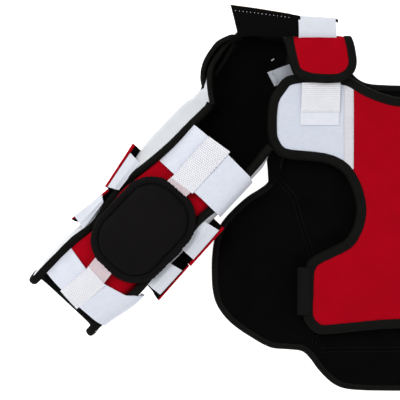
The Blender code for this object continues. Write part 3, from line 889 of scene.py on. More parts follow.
def folded(plane, heights):
    """Points of the tongue's pattern, each at a height above its lower face, brought to their places."""
    heights = np.broadcast_to(heights, len(plane))
    return np.array([on_fold(x, along, height) for (x, along), height in zip(plane, heights)])


def make_tongue():
    edge = [(x, y - TONGUE_TIP_Y) for x, y in TONGUE_EDGE]
    path = spline([(-183, TONGUE_END), (-183, 85)] + edge + [(-95.5, 85), (-95.5, TONGUE_END)], 2.2 * FINE)
    loop = np.concatenate([path, [(x, TONGUE_END) for x in np.arange(-98.5, -181, -3.0)]])
    inset = shifted(loop, 2.0)
    inset[:, 1] = np.minimum(inset[:, 1], TONGUE_END - 0.5)
    plane, faces = triangulate(inset, 3.0 * FINE)
    d = distance_to(plane, path, closed=False)
    swell = pillow(d - 10, 20)
    rumple = 0.45 * ripple(plane, 26, 2.0) + 0.5 * puckers(plane, loop, d, 11, 9)
    upper = 6.5 + 2.3 * swell + rumple
    lower = 1.6 - 0.9 * swell
    cover = slab("tongue_pad_left", plane, faces, folded(plane, upper), folded(plane, 4.05), RED)
    put_both(cover, BACK, ["shoulder_tongue_left"], fill=0.6, blend=TONGUE_BLEND)
    back = slab("tongue_lining_left", plane, faces, folded(plane, 3.95), folded(plane, lower), LINING)
    put_both(back, BACK, fill=0.6, blend=TONGUE_BLEND)

    centre = folded(path, 4.0)
    sides = unit(folded(path + turned(path, False) * 0.4, 4.0) - centre)
    up = unit(folded(path, 5.0) - centre)
    bind("tongue_edge_binding_left", centre, sides, up, wrap(11.2, 4.7), BACK,
         ["tongue_binding_left"], 0.03, blend=TONGUE_BLEND)
    sew(BACK, "tongue_stitches_left", centre + sides * 9.0 + up * 4.5, up, blend=TONGUE_BLEND)


def tab_rows(places, length, left, right, wave, seed, lift):
    """Rows across a tab. Each side is given as its start and how far it drifts over the length."""
    rows = []
    for y in places:
        t = (y - places[0]) / length
        low, high = left[0] + left[1] * t, right[0] + right[1] * t
        across = low + (high - low) * np.linspace(0, 1, 20)
        rows.append([(x, y, lift(t) + wave * wavy(x / 9, y / 9, seed)) for x in across])
    return rows


def make_tab():
    """The closing tab: a folded woven length, then its single soft end."""
    facts = {"held": "laid", "on": ["loop_lobe_left"]}
    rows = tab_rows(np.arange(114.4, 153.2, 1.4), 38.6, (-161.6, 1.6), (-111.0, 0.8), 0.15, 2,
                    lambda t: 48.3 + 0.5 * math.sin(math.pi * t) + 1.0 * t)
    lay("tab_woven_left", rows, 1.9, WEBBING, TAB, ["shoulder_tab_left"], **facts)
    rows = tab_rows(np.arange(97.2, 121.0, 1.4), 23.8, (-162.6, 0.9), (-112.2, 1.0), 0.12, 5,
                    lambda t: 46.9)
    lay("tab_soft_end_left", rows, 1.0, PLAIN_END, TAB, **facts)
    x = np.linspace(-160, -112.6, 30)
    row = np.column_stack([x, 116.2 + 0 * x, 48.6 + 0 * x])
    sew(TAB, "tab_cross_stitches_left", row, upward(row), 2.8, 2.0, 0.28, thread_used=THREAD_WHITE)


HOOK_PATH = [(207, 53.5), (211, 57.5), (216.5, 60.2), (223, 60.8), (230, 60.2), (235.5, 57.5),
             (238.6, 52.5), (238, 46.5), (232.5, 38.5), (225, 30), (218, 21), (212, 14.5), (206, 12)]


def make_hanger():
    """The elastic loop at the shoulder's end, and the flap that hangs the arm from it."""
    path = spread(HOOK_PATH, 44)
    rows = []
    for i, (y, z) in enumerate(path):
        t = min(1.0, i / 22)
        left, right = -164.9 - 1.4 * t, -116.2 - 2.6 * t
        drop = max(0.0, (y - 207) / 30)
        rows.append([(x, y + 0.4 * wavy(x / 12, i / 9, 0) - drop * 2.6 * (x + 166) / 50, z)
                     for x in left + (right - left) * np.linspace(0, 1, 22)])
    lay("hanger_elastic_left", rows, 1.4, ELASTIC, CHEST, ["hanger_hook_left"], held="folded")
    path = [(-119, 231, 55.5), (-117, 231.6, 55.8), (-115.2, 231.4, 55.2), (-114.2, 230.4, 54)]
    nub = sweep("hanger_cord_end_left", path, [(0, 1, 0)] * 4, upward(path), oval(2.3, 2.3, 10), BINDING,
                closed=False)
    put_both(nub, CHEST)

    far = spread([(-253, 253.5, 45.5), (-225, 249, 50), (-195, 243.5, 55), (-168, 238.2, 58.5),
                  (-163.5, 237.2, 58.8)], 40)
    near = spread([(-243, 214, 43), (-224, 213.5, 45), (-195, 212, 50), (-168, 211, 55),
                   (-163.5, 210.5, 56)], 40)
    rows = []
    for t in np.linspace(0, 1, 18):
        bow = 2.2 * math.sin(math.pi * t)
        rows.append([tuple(n + (f - n) * t + np.array([0, 0, bow + 0.9 * wavy(n[0] / 24, t * 1.4, 4)]))
                     for n, f in zip(near, far)])
    lay("hanger_flap_cloth_left", rows, 2.6, COVER, UPPER, ["hanger_flap_left"], held="hung",
        on=["hanger_elastic_left"])
    edge, seam = np.array(rows[-1])[:-5], np.array(rows[-4])[:-5]
    up = upward(edge)
    outward = np.tile([0.15, 1.0, 0.0], (len(edge), 1))
    raw = sweep("hanger_raw_edge_left", edge - up * 1.3, outward, up, oval(0.7, 1.2, 8), RAW_EDGE,
                closed=False)
    put_both(raw, UPPER)
    sew(UPPER, "hanger_stitches_left", seam + up * 0.1, up, 5.0, 1.3, 0.4, thread_used=THREAD_WHITE)


def make_strap_end():
    """The loose end of a shoulder strap, hemmed and lying on the shoulder."""
    along, across = np.array([0.928, 0.371]), np.array([-0.46, 0.888])
    start = np.array([-199.2, 158.0])
    rows = []
    for s in np.linspace(0, 44, 30):
        centre = start + along * s
        z = 33.0 - 6.5 * smoothstep((s - 14) / 26)
        rows.append([(*(centre + across * w), z + 0.5 * math.cos(w / 6)) for w in np.linspace(-10, 10, 14)])
    lay("shoulder_strap_end_left", rows, 1.4, STRAP_GREY, CHEST, held="laid")
    rows = []
    for s in np.linspace(-0.6, 5.5, 6):
        centre = start + along * s
        rows.append([(*(centre + across * w), 34.9 + 0.5 * math.cos(w / 6))
                     for w in np.linspace(-10.1, 10.1, 14)])
    lay("shoulder_strap_hem_left", rows, 1.5, STRAP_GREY, CHEST)
    w = np.linspace(-9, 9, 10)
    row = np.array([(*(start + along * 4.4 + across * k), 36.3) for k in w])
    sew(CHEST, "shoulder_strap_stitches_left", row, upward(row), 2.2, 2.0, 0.5)


# ---------------------------------------------------------------- arms

ELBOW = (-361.4, -28.6)
ARM_ANGLE = math.radians(227.0)
ARM_ALONG = np.array([math.cos(ARM_ANGLE), math.sin(ARM_ANGLE)])
ARM_ACROSS = np.array([-math.sin(ARM_ANGLE), math.cos(ARM_ANGLE)])


def on_arm(points):
    """Arm coordinates (along to the wrist, across towards the torso, height) as places in the scene."""
    points = np.asarray(points, float)
    plane = np.array(ELBOW) + points[..., :1] * ARM_ALONG + points[..., 1:2] * ARM_ACROSS
    return np.concatenate([plane, points[..., 2:]], axis=-1)


def arm_place(u, v, z):
    return tuple(on_arm([u, v, z]))


ARM_BLEND = (UPPER, FORE, arm_place(-38, 0, 42), arm_place(38, 0, 42))


def arm_section(u, depth):
    """Points from the left edge by the floor to the right one, at a depth inside the shell's outer face."""
    table = np.array(ARM_STATIONS, float)
    ease = 1.5 + 5.5 * smoothstep((u + 170) / 30)
    near = [[np.interp(u + k * ease, table[:, 0], table[:, c]) for c in range(1, 6)]
            for k in (-1.6, -0.8, 0, 0.8, 1.6)]
    left_top, left_bulge, right_bulge, right_top, height = np.mean(near, axis=0)
    height -= ELBOW_DIP * math.exp(-((u / ELBOW_REACH) ** 2) * 2.2)
    rise = height - ARM_FLOOR
    control = [(left_top, height), (left_bulge * 0.97, ARM_FLOOR + 0.8 * rise),
               (left_bulge, ARM_FLOOR + 0.56 * rise), (left_bulge + 2, ARM_FLOOR + 0.32 * rise),
               (left_bulge * 0.72, ARM_FLOOR + 0.05 * rise), (0, ARM_FLOOR),
               (right_bulge * 0.72, ARM_FLOOR + 0.05 * rise), (right_bulge - 2, ARM_FLOOR + 0.32 * rise),
               (right_bulge, ARM_FLOOR + 0.56 * rise), (right_bulge * 0.985, ARM_FLOOR + 0.8 * rise),
               (right_top, height)]
    section = spread(control, COLUMNS)
    return section + turned(section, False) * depth


def arm_grid(depth, start, end, count, waves=0.0):
    """A grid round the arm whose rows run from one line of distances along it to another."""
    places = np.arange(-210, 175, 5.0)
    sections = np.array([arm_section(u, depth) for u in places])
    rows = []
    for t in np.linspace(0, 1, count):
        row = []
        for k in range(COLUMNS):
            u = start[k] + (end[k] - start[k]) * t
            v = np.interp(u, places, sections[:, k, 0])
            z = np.interp(u, places, sections[:, k, 1])
            if waves:
                calm = min(1.0, (1 - t) * 16) * min(1.0, k / 4, (COLUMNS - 1 - k) / 4)
                bend = waves * calm * wavy(u / 34, k / 3.4, 1.0)
                v += bend * math.copysign(min(1, abs(v) / 40), v)
            row.append((u, v, z))
        rows.append(row)
    return on_arm(rows)


def wrist_line(inset=0.0):
    """Where the guard ends: deep at its middle, with a rounded horn at each edge."""
    length = 238.0
    reach = np.linspace(0, length, COLUMNS)
    line = []
    for a in reach:
        left = a < length / 2
        edge = a if left else length - a
        peak = 159.0 if left else 157.5
        round_off = 9 - math.sqrt(max(0, 81 - (9 - min(edge, 9)) ** 2))
        fall = (peak - WRIST_MIDDLE) * smoothstep((edge - 9) / (26 if left else 55))
        line.append(peak - round_off - fall - inset)
    return np.array(line)


def shoulder_line():
    """Where the guard begins: its coated cloth runs on past the crease along the outer wall."""
    share = np.linspace(0, 1, COLUMNS)
    outer_wall = 30.0 * (1 - smoothstep((share - 0.2) / 0.12))
    inner_wall = 2.0 * smoothstep((share - 0.72) / 0.1)
    return -167.0 - outer_wall - inner_wall


def border(front, back, sides, skip=2):
    """Centre line, inward direction and outward face direction along chosen sides of a two-faced grid."""
    front, back = np.asarray(front), np.asarray(back)
    middle = (front + back) / 2
    normal = grid_normals(front)
    down, across = np.gradient(middle, axis=0), np.gradient(middle, axis=1)
    last_row, last_column = front.shape[0] - 1, front.shape[1] - 1
    picked = {
        "left": ([(i, 0) for i in range(last_row + 1)], across),
        "end": ([(last_row, j) for j in range(last_column + 1)], -down),
        "right": ([(i, last_column) for i in range(last_row, -1, -1)], -across),
        "start": ([(0, j) for j in range(last_column, -1, -1)], down),
    }
    places, inward, outward = [], [], []
    for side in sides:
        cells, direction = picked[side]
        if places:
            cells = cells[skip:]
        if side != sides[-1] and skip > 1:
            cells = cells[:-1]
        for cell in cells:
            places.append(middle[cell])
            inward.append(direction[cell] / np.linalg.norm(direction[cell]))
            outward.append(normal[cell])
    places, inward, outward = np.array(places), np.array(inward), np.array(outward)
    run = run_of(places)
    path = spline(places, 2.6 * FINE)
    at = np.linspace(0, run[-1], len(path))
    inward, outward = smooth_directions(run, inward, at), smooth_directions(run, outward, at)
    inward = unit(inward - outward * np.sum(inward * outward, axis=1, keepdims=True))
    return path - inward * 1.8, inward, outward


def smooth_directions(run, directions, at):
    """Directions along a path at new distances, eased over about a centimetre."""
    total = sum(sample(directions, run, np.clip(at + offset, 0, run[-1]))
                for offset in (-8, -5, -2.5, 0, 2.5, 5, 8))
    return unit(total)


CREASE_AT_SHOULDER = on_arm([(-157, -72, 0), (-166, -44, 0)])[:, :2]


def make_guard():
    """The arm guard: coated shell, brushed lining and the tape round them."""
    start, end = shoulder_line(), wrist_line(0.6)
    corner = 4.0 * (1 - smoothstep((np.minimum(np.arange(COLUMNS), np.arange(COLUMNS)[::-1]) - 0.5) / 3.0))
    outside = arm_grid(0.0, start, end - corner, SHELL_ROWS, 0.9)
    inside_face = arm_grid(SHELL_THICKNESS, start, end - corner, SHELL_ROWS)
    fold = groove(distance_to(outside[..., :2].reshape(-1, 2), CREASE_AT_SHOULDER, False), 3.2)
    outside = outside + (inside_face - outside) * 0.4 * fold.reshape(SHELL_ROWS, COLUMNS, 1)
    lay("arm_shell_left", outside[:, ::-1], SHELL_THICKNESS, SHELL, UPPER,
        ["upper_arm_shell_left", "forearm_shell_left"],
        back=inside_face[:, ::-1], fill=0.4, blend=ARM_BLEND)
    share = np.linspace(0, 1, COLUMNS)
    flat_start = -169.0 - 17.0 * smoothstep((share - 0.04) / 0.2) + 6.0 * smoothstep((share - 0.85) / 0.15)
    base_depth = SHELL_THICKNESS + LINING_GAP
    face_depth = base_depth + LINING_THICKNESS
    face = arm_grid(face_depth, flat_start, end - corner, LINING_ROWS, 0.6)
    base = arm_grid(base_depth, flat_start, end - corner, LINING_ROWS)
    lay("arm_lining_left", face, LINING_THICKNESS, LINING, UPPER,
        ["upper_arm_lining_left", "forearm_lining_left"],
        back=base, fill=0.3, blend=ARM_BLEND)
    edge_front = arm_grid(face_depth, flat_start, end, LINING_ROWS)
    edge_back = arm_grid(0.0, flat_start, end, LINING_ROWS)
    path, inward, outward = border(edge_front, edge_back, ("left", "end", "right"), skip=1)
    tuck = np.clip(1 - np.arange(len(path)) / 5, 0, 1)[:, None]
    path = path + tuck * np.array([*(ARM_ACROSS * 3.5), -1.0])
    bind("arm_edge_binding_left", path, inward, outward, wrap(8.6, 5.3), UPPER, blend=ARM_BLEND)
    sew(UPPER, "arm_edge_stitches_left", path + inward * 6.6 - outward * 5.2, -outward, blend=ARM_BLEND)


LINER_PATH = [(-51, 59), (-46, 62), (-38, 63.6), (0, 64.6), (34, 63.4), (43, 60.5), (49.5, 54)]


def make_liner():
    path = spread(LINER_PATH, 34)
    rows = []
    for u in np.linspace(-74, 97, 60):
        scale = 1 - 0.09 * smoothstep(u / 97)
        rows.append([(u, v * scale, z + 0.9 * wavy(u / 23, v / 20, 8)
                      - 3.5 * math.exp(-((u / 20) ** 2)) * abs(v) / 50) for v, z in path])
    lay("elbow_liner_left", on_arm(rows), 1.5, RED, UPPER, ["upper_arm_liner_left", "forearm_liner_left"],
        held="stretched", blend=ARM_BLEND)


def make_elbow_pad():
    """Crowned pad with a flattened, stitched rim."""
    loop = []
    for corner, (sign_u, sign_v) in enumerate([(1, 1), (-1, 1), (-1, -1), (1, -1)]):
        middle_u = PAD_CENTER[0] + sign_u * (PAD_HALF[0] - PAD_CORNER)
        middle_v = PAD_CENTER[1] + sign_v * (PAD_HALF[1] - PAD_CORNER)
        for step in range(9):
            angle = math.pi / 2 * (corner + step / 9)
            loop.append((middle_u + PAD_CORNER * math.cos(angle), middle_v + PAD_CORNER * math.sin(angle)))
    loop = spline(loop, 1.6 * FINE, closed=True)
    run = np.arange(len(loop)) * 1.6
    scallop = 0.35 * np.sin(run * 2 * math.pi / 6.2) + 0.5 * np.array([wavy(r / 17, 0, 3) for r in run])
    loop = loop + turned(loop, True) * scallop[:, None]
    ring = shifted(loop, PAD_RIM)
    plane, faces = triangulate(loop, 2.8 * FINE, [(np.concatenate([ring, ring[:1]]), False)])
    d = distance_to(plane, loop)
    run_at = nearest_run(plane, loop)
    rim_ripple = 0.35 * np.sin(run_at * 2 * math.pi / 6.2) * np.exp(-((d - 4.5) / 3.5) ** 2)
    top = (75.2 + 2.6 * pillow(d, 3.0) + rim_ripple - 1.7 * groove(d - PAD_RIM, 1.7)
           + smoothstep((d - PAD_RIM) / 1.0) * (1.0 + 7.0 * pillow(d - PAD_RIM, 34))
           + 0.5 * ripple(plane, 40, 9.0))
    bottom = 73.4 + 0.9 * (1 - pillow(d, 3.0))
    pad = slab("elbow_pad_cover_left", plane, faces, top, bottom, PAD_COVER)
    flatten_on_arm(pad)
    put_both(pad, FORE, ["elbow_pad_left"], fill=0.75, blend=ARM_BLEND)
    for name, inset, lift in (("inner", PAD_RIM - 1.6, 77.6), ("outer", 2.6, 77.7)):
        row = shifted(loop, inset)
        path = on_arm(np.column_stack([row, np.full(len(row), lift)]))
        sew(FORE, f"elbow_pad_{name}_stitches_left", path, upward(path), 3.1, 2.1, 0.34, closed=True,
            blend=ARM_BLEND)


def flatten_on_arm(obj):
    """Turns a mesh made in arm coordinates to its place on the arm."""
    move_points(obj.data, lambda co: on_arm(co / MM) * MM)


def band_rows(path, first, last, count, seed):
    """Rows across the arm between two edge lines, each given as distance along at distances across."""
    across = spread(path, 46)
    rows = []
    for t in np.linspace(0, 1, count):
        row = []
        for k, (v, z) in enumerate(across):
            u = np.interp(v, *zip(*first)) * (1 - t) + np.interp(v, *zip(*last)) * t
            lift = 0.7 * wavy(u / 30, k / 9, seed)
            row.append((u, v, z + lift))
        rows.append(row)
    return rows


def narrowed(u, v, z):
    """A point of the forearm band, drawn in and lowered towards the wrist."""
    taper = (0.17 if v > 20 else 0.02) * min(1.0, abs(v) / 50) * smoothstep((u - 80) / 60)
    return u, v * (1 - taper), z - 0.05 * max(0, u - 110)


def make_bands():
    upper_path = [(-45, 58), (-40, 63.5), (-33, 69.5), (-25, 73.4), (-17, 75.6), (0, 77), (20, 77.2),
                  (30, 76.6), (44, 75.4), (52, 73.0), (58.5, 69), (61.9, 62), (63.4, 54), (63.6, 44),
                  (62.5, 34)]
    rows = band_rows(upper_path, [(-45, -133), (0, -135), (56, -133), (66, -130)],
                     [(-45, -69.5), (0, -69.5), (30, -70.5), (66, -69.5)], 34, 1.0)
    facts = {"held": "stretched", "on": ["arm_edge_binding_left"]}
    lay("upper_band_cloth_left", on_arm(rows), 1.9, BAND, UPPER, ["upper_band_left"], **facts)
    lower_path = [(-53, 50), (-48, 57), (-41, 63), (-33, 67.5), (-20, 71.5), (-5, 73.2), (14, 73.4),
                  (28, 72.4), (42, 70.4), (51, 67.5), (57, 62.5), (60, 54), (61, 44), (60.5, 36), (58, 29)]
    rows = band_rows(lower_path,
                     [(-53, 89.5), (-36, 92.0), (-14, 95.5), (17, 93.0), (45, 86), (56, 76), (61, 72)],
                     [(-53, 135.5), (10, 136.8), (46, 136), (61, 134)], 30, 2.0)
    rows = [[narrowed(*point) for point in row] for row in rows]
    lay("forearm_band_cloth_left", on_arm(rows), 1.9, BAND, FORE, ["forearm_band_left"], **facts)
    webbing_strip("upper", UPPER,
                  [(-136.5, 0.8, 78.6), (-128, 0.9, 79.4), (-100, 1.2, 79.9), (-76, 1.6, 79.6),
                   (-65.5, 1.9, 78.9)], 33, -4.0)
    webbing_strip("forearm", FORE,
                  [(92, 1.2, 75.9), (104, -0.2, 75.6), (122, -2.4, 74.2), (132, -4.0, 73.0),
                   (139.5, -4.8, 71.8)], 31, 2.5)
    bridge("upper", UPPER, [(-78, 0.8, 77.8), (-68, 0.3, 78.2), (-61, -0.4, 76.6), (-54, -0.6, 73.4),
                            (-46, -0.6, 72.0)], 31)
    bridge("forearm", FORE,
           [(66, -2.6, 71.8), (73, -2.4, 73.2), (80, -1.8, 75.2), (87, -1.2, 75.6), (97, -0.6, 74.9)], 29)


def strip_rows(path, width, skew):
    across = np.linspace(-width / 2, width / 2, 22)
    rows = []
    for u, v, z in spread(path, 40):
        rows.append([(u + skew * w / width, v + w,
                      z + 0.25 * math.cos(w / 5.5) + 0.3 * wavy(u / 13, w / 11, 6))
                     for w in across])
    return rows


def webbing_strip(name, body, path, width, skew):
    rows = strip_rows(path, width, skew)
    lay(f"{name}_webbing_strip_left", on_arm(rows), 1.7, WEBBING, body, [f"{name}_webbing_left"],
        held="laid", on=[f"{name}_band_cloth_left"])
    rows = np.array(rows)
    for k, row in enumerate((rows[2], rows[-3])):
        path = on_arm(row[1:-1] + [0, 0, 0.15])
        sew(body, f"{name}_webbing_stitches_{k}_left", path, upward(path), 2.6, 1.9, 0.3,
            thread_used=THREAD_WHITE)


def bridge(name, body, path, width):
    """The single layer of webbing from a band to the elbow pad."""
    lay(f"{name}_webbing_bridge_left", on_arm(strip_rows(path, width, 0)), 1.0, WEBBING_PINK, body,
        held="stretched")


# Plates round the outside: reach along the arm, left rim, right rim, half thickness of the rims.
PLATES = [
    ("elbow_plate_upper_left", UPPER, (-62.5, 2.4), (-80.5, -68.5), (77.0, 78.5), 2.1),
    ("elbow_plate_lower_left", FORE, (3.4, 63.0), (-63.0, -72.5), (77.3, 79.0), 1.4),
]
# Elastic webs on the plates: (inner start, inner end), (outer start, outer end), each along and across.
WEBS = [
    ("outer_upper", UPPER, (-50, -57.5), (-6, -54), (-51, -75.5), (0.5, -67)),
    ("outer_lower", FORE, (19, -57.5), (60.5, -53), (13, -65.5), (57.5, -73.2)),
    ("inner_upper", UPPER, (-51, 50), (-6, 57), (-56, 75.0), (-6, 76.5)),
    ("inner_lower", FORE, (18, 56), (57, 55), (14, 75.5), (56, 76)),
]


def make_elbow_plates():
    for name, body, reach, left_rim, right_rim, rim_half in PLATES:
        rows = []
        for t in np.linspace(0, 1, 24):
            u, left, right = (a + (b - a) * t for a, b in (reach, left_rim, right_rim))
            path = [(left, 57.5), (left * 0.75 - 17.5, 50), (left * 0.5 - 33, 40), (left * 0.4 - 40, 30),
                    (left * 0.3 - 44.5, 17), (-54, 6), (-30, 3.0), (0, 2.9), (30, 3.0), (54, 6), (66, 17),
                    (70.5, 30), (72.5, 40), (right * 0.5 + 36.5, 50), (right, 57.5)]
            rows.append([(u + 0.8 * wavy(k / 6, 1, 1) * (1 if 0 < t < 1 else 0), v, z)
                         for k, (v, z) in enumerate(spread(path, 52))])
        surface = on_arm(rows)
        normal, across = grid_normals(surface), np.gradient(surface, axis=1)
        lay(name.replace("_left", "_lining_left"), surface, 1.2, LINING, body, held="stretched",
            blend=ARM_BLEND)
        lay(name.replace("_left", "_cover_left"), surface + normal * 1.7, 1.6, RED, body, [name], fill=0.3,
            blend=ARM_BLEND)
        middle = surface + normal * 0.3
        for side, column, sign in (("outer", 0, 1), ("inner", -1, -1)):
            inward = unit(across[:, column] * sign)
            rim = sweep(f"{name[:-5]}_{side}_rim_left", middle[:, column] + inward * 1.2, inward,
                        normal[:, column], oval(rim_half, rim_half), RED, closed=False, lumps=0.06)
            put_both(rim, body, blend=ARM_BLEND)


def make_plate_joins():
    """Strips of cloth that close the gap between the two plates on each side of the elbow."""
    for name, inner, outer in (("outer", -56.0, -66.5), ("inner", 56.0, 76.0)):
        rows = [[(u, v, 51.5 - 3.0 * math.cos(u / 14) + 0.4 * math.sin(v))
                 for v in np.linspace(inner, outer, 9)]
                for u in np.linspace(-10, 16, 12)]
        rows = rows if inner > 0 else [row[::-1] for row in rows]
        lay(f"plate_join_{name}_left", on_arm(rows), 1.2, LINING, UPPER, held="stretched",
            blend=ARM_BLEND)


def make_webs():
    for name, body, *corners in WEBS:
        inner_start, inner_end, outer_start, outer_end = np.array(corners, float)
        rows = []
        for t in np.linspace(0, 1, 26):
            inner = inner_start + (inner_end - inner_start) * t
            outer = outer_start + (outer_end - outer_start) * t
            row = []
            for s in np.linspace(0, 1, 14):
                u, v = inner + (outer - inner) * s
                crown = 0.7 * math.sin(math.pi * t) * math.sin(math.pi * s)
                ridge = 1.5 * math.exp(-(((s - 0.36 - 0.08 * t) / 0.1) ** 2))
                row.append((u, v, 64.0 - 5.0 * s**1.5 + (crown + ridge) + 0.5 * wavy(u / 11, v / 15, 3)))
            rows.append(row[::-1] if inner_start[1] < 0 else row)
        lay(f"web_elastic_{name}_left", on_arm(rows), 1.3, ELASTIC, body, held="stretched",
            blend=ARM_BLEND)


# ---------------------------------------------------------------- shoulder cap

# Rows of the cap from the arm to the neck: left rim, right rim and height of the floor between them.
CAP_ROWS = [((-274.5, 123, 62), (-203, 65, 31), 4), ((-277.5, 141, 61), (-198, 80, 30), 3),
            ((-278.5, 157, 58), (-193, 102, 29), 3), ((-276.5, 171, 53.5), (-187, 128, 28), 3),
            ((-268.5, 186, 48), (-181, 155, 28), 4), ((-256, 203, 42.5), (-177, 182, 28), 6),
            ((-239, 214, 38), (-176, 202, 28.5), 10), ((-214, 217.5, 35), (-180, 213, 29), 17)]
CAP_STATIONS = 46
CAP_COLUMNS = 44
CAP_THICKNESS = 4.2
# Raised creases inside the cap: line, half width and height.
CAP_CREASES = [([(-279, 166), (-262, 178), (-236, 190)], 4.0, 2.0),
               ([(-270, 128), (-240, 104), (-205, 74)], 4.5, 1.8)]
# Cross-section of the cap: share of the way from rim to rim, and share of the depth.
CAP_BOWL = [(0.02, 0.4), (0.07, 0.7), (0.2, 0.93), (0.5, 1.0), (0.8, 0.93), (0.93, 0.7), (0.98, 0.4)]


def make_cap():
    """The soft bowl over the shoulder, creased where it joins the arm, with a bound rim."""
    rows = []
    for *rims, floor in spread([(*left, *right, floor) for left, right, floor in CAP_ROWS], CAP_STATIONS):
        left, right = np.array(rims).reshape(2, 3)
        control = [left]
        for share, depth in CAP_BOWL:
            rim = left + (right - left) * share
            control.append((rim[0], rim[1], rim[2] + (floor + 4 - rim[2]) * depth))
        control.append(right)
        rows.append(spread(control, CAP_COLUMNS))
    front = np.array(rows)
    normal = grid_normals(front)
    if normal[..., 2].mean() < 0:
        normal = -normal
    share = np.linspace(0, 1, CAP_COLUMNS)[None, :, None]
    start = np.linspace(0, 1, CAP_STATIONS)[:, None, None]
    hold = np.minimum(1, np.minimum(share, 1 - share) * 9) * np.minimum(1, start * 10)
    flat = front.reshape(-1, 3)
    folds = 1.5 * ripple(flat, 27, 4.0) + 0.9 * ripple(flat, 12, 6.0)
    ridge = sum(height * groove(distance_to(flat[:, :2], line, False), width)
                for line, width, height in CAP_CREASES)
    front = front + normal * hold * (folds + ridge).reshape(CAP_STATIONS, CAP_COLUMNS, 1)
    back = front - normal * CAP_THICKNESS
    lay("shoulder_cap_bowl_left", front, CAP_THICKNESS, LINING, UPPER, ["shoulder_cap_left"], back=back,
        fill=0.35)
    bind("cap_rim_binding_left", *border(front, back, ("left", "end", "right")), wrap(9.5, 3.6), UPPER,
         lumps=0.05)


def make_underarm():
    """Black cloth that closes the underarm between the chest's edge and the arm."""
    top = np.array([(-207, 70, 24), (-186, 70, 15)], float)
    low = np.array([(-202, 21.5, 17), (-184, 20, 13)], float)
    rows = []
    for t in np.linspace(0, 1, 14):
        left, right = top[0] + (low[0] - top[0]) * t, top[1] + (low[1] - top[1]) * t
        rows.append([left + (right - left) * s
                     + np.array([0.8 * math.sin(math.pi * t), 0, 1.2 * math.sin(math.pi * s)])
                     for s in np.linspace(0, 1, 10)])
    lay("underarm_gusset_left", rows, 2.6, COVER, CHEST, fill=0.3)


def make_label():
    """A blank stub of care label at the cap's inner edge."""
    rows = [[(-198.4 + 3.2 * s - 0.5 * t, 182.2 + 2.6 * s + 0.8 * t, 31.5 + 0.5 * t)
             for s in np.linspace(0, 1, 5)]
            for t in np.linspace(0, 1, 4)]
    lay("blank_label_left", rows, 0.4, TAPE, UPPER)


DELTOID_PATH = [(-282.5, 147.5), (-285.5, 152), (-287.2, 159), (-287.2, 166), (-285, 176), (-281, 184.5),
                (-276, 192.5), (-268.7, 201.3), (-258.4, 207.6), (-249, 211), (-240, 211.2)]
GUARD_THICKNESS = 4.6


def make_deltoid():
    """The padded guard that stands outside the cap, lower at its ends."""
    path = spread(DELTOID_PATH, 40)
    side = turned(path, False)
    front, back = [], []
    for i, ((x, y), (nx, ny)) in enumerate(zip(path, side)):
        end = min(i, 39 - i) / 6
        drop = 7.2 if i < 20 else 17
        top = 52 - drop * (1 - smoothstep(end))
        wave = 0.8 * wavy(i / 6, 2, 2)
        front.append([(x - nx * (-0.2 + 1.5 * t - wave), y - ny * (-0.2 + 1.5 * t - wave),
                       10 + (top - 10) * t)
                      for t in np.linspace(0, 1, 14)])
        back.append([(px + nx * GUARD_THICKNESS, py + ny * GUARD_THICKNESS, pz)
                     for px, py, pz in front[-1]])
    front, back = np.array(front), np.array(back)
    lay("deltoid_guard_left", back, GUARD_THICKNESS, COVER, UPPER, ["deltoid_flap_left"], back=front,
        fill=0.4)
    bind("deltoid_edge_binding_left", *border(back, front, ("start", "right", "end")), wrap(9.0, 3.4),
         UPPER, lumps=0.05)
    make_gusset(front)


def make_gusset(guard):
    """The strip of cloth that joins the guard's inner face to the outside of the cap's rim."""
    rim = spread([left for left, _, _ in CAP_ROWS], 120)
    near = np.linalg.norm(rim[None, :, :2] - guard[:, -1, None, :2], axis=2).argmin(axis=1)
    rows = []
    for place, other_side in zip(guard[:, -1] - [0, 0, 7], rim[near] - [0, 0, 5]):
        rows.append([place + (other_side - place) * share + [0, 0, -3.5 * math.sin(math.pi * t)]
                     for share, t in zip(np.linspace(-0.1, 1.05, 8), np.linspace(0, 1, 8))])
    lay("deltoid_gusset_left", rows, 2.2, COVER, UPPER, fill=0.3)


# ---------------------------------------------------------------- stage


FLOOR_HALF = 6.0
FLOOR_Z = -0.0006  # just under the lowest piece
LENS, SENSOR = 100, 36
VIEW_WIDTH = 0.52  # across the picture, at the height of the panels
VIEW_CENTRE = (-0.2925, 0.0, 0.045)
LIT_PLACE = (-0.2, 0, 0)
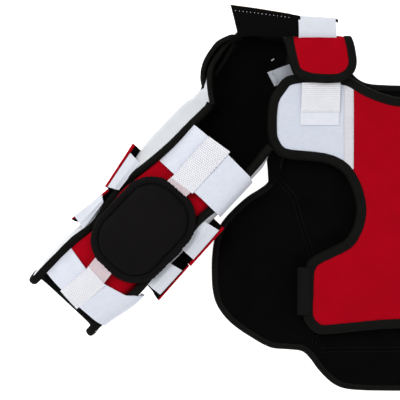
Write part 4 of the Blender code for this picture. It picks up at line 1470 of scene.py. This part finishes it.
# Soft boxes: place, side in metres and power.
LIGHTS = {"key": ((-1.3, 0.9, 2.2), 1.6, 36.0), "fill": ((1.6, -1.2, 2.4), 2.2, 22.0)}


def make_stage():
    """White paper, soft light all round, and a camera straight above the left half. These are in metres."""
    mesh = bpy.data.meshes.new("floor")
    corners = [(FLOOR_HALF * x, FLOOR_HALF * y, FLOOR_Z) for x, y in ((-1, -1), (1, -1), (1, 1), (-1, 1))]
    mesh.from_pydata(corners, [], [(0, 1, 2, 3)])
    paper = bpy.data.materials.new("paper")
    paper.use_nodes = True
    settings = {"Base Color": (0.8, 0.8, 0.8, 1), "Roughness": 0.9, "Emission Color": (1, 1, 1, 1),
                "Emission Strength": 0.92}
    for key, value in settings.items():
        paper.node_tree.nodes["Principled BSDF"].inputs[key].default_value = value
    mesh.materials.append(paper)
    add_object("floor", mesh)

    world = bpy.data.worlds.new("studio")
    world.use_nodes = True
    background = world.node_tree.nodes["Background"]
    background.inputs["Color"].default_value = (1, 1, 1, 1)
    background.inputs["Strength"].default_value = 0.52
    bpy.context.scene.world = world
    for name, (place, size, power) in LIGHTS.items():
        data = bpy.data.lights.new(name, "AREA")
        data.shape = "SQUARE"
        data.size = size
        data.energy = power
        light = add_object(name, data)
        light.location = place
        light.rotation_euler = (Vector(LIT_PLACE) - Vector(place)).to_track_quat("-Z", "Y").to_euler()

    data = bpy.data.cameras.new("camera")
    data.lens = LENS
    data.sensor_width = SENSOR
    data.clip_start = 0.05
    data.clip_end = 30
    camera = add_object("camera", data)
    camera.location = Vector(VIEW_CENTRE) + Vector((0, 0, VIEW_WIDTH * LENS / SENSOR))
    bpy.context.scene.camera = camera
    bpy.context.scene.view_settings.view_transform = "Standard"


make_stage()
make_chest()
make_back()
make_seam_tape()
make_side_strap()
make_tongue()
make_tab()
make_hanger()
make_strap_end()
make_guard()
make_liner()
make_elbow_pad()
make_bands()
make_elbow_plates()
make_plate_joins()
make_webs()
make_cap()
make_label()
make_underarm()
make_deltoid()
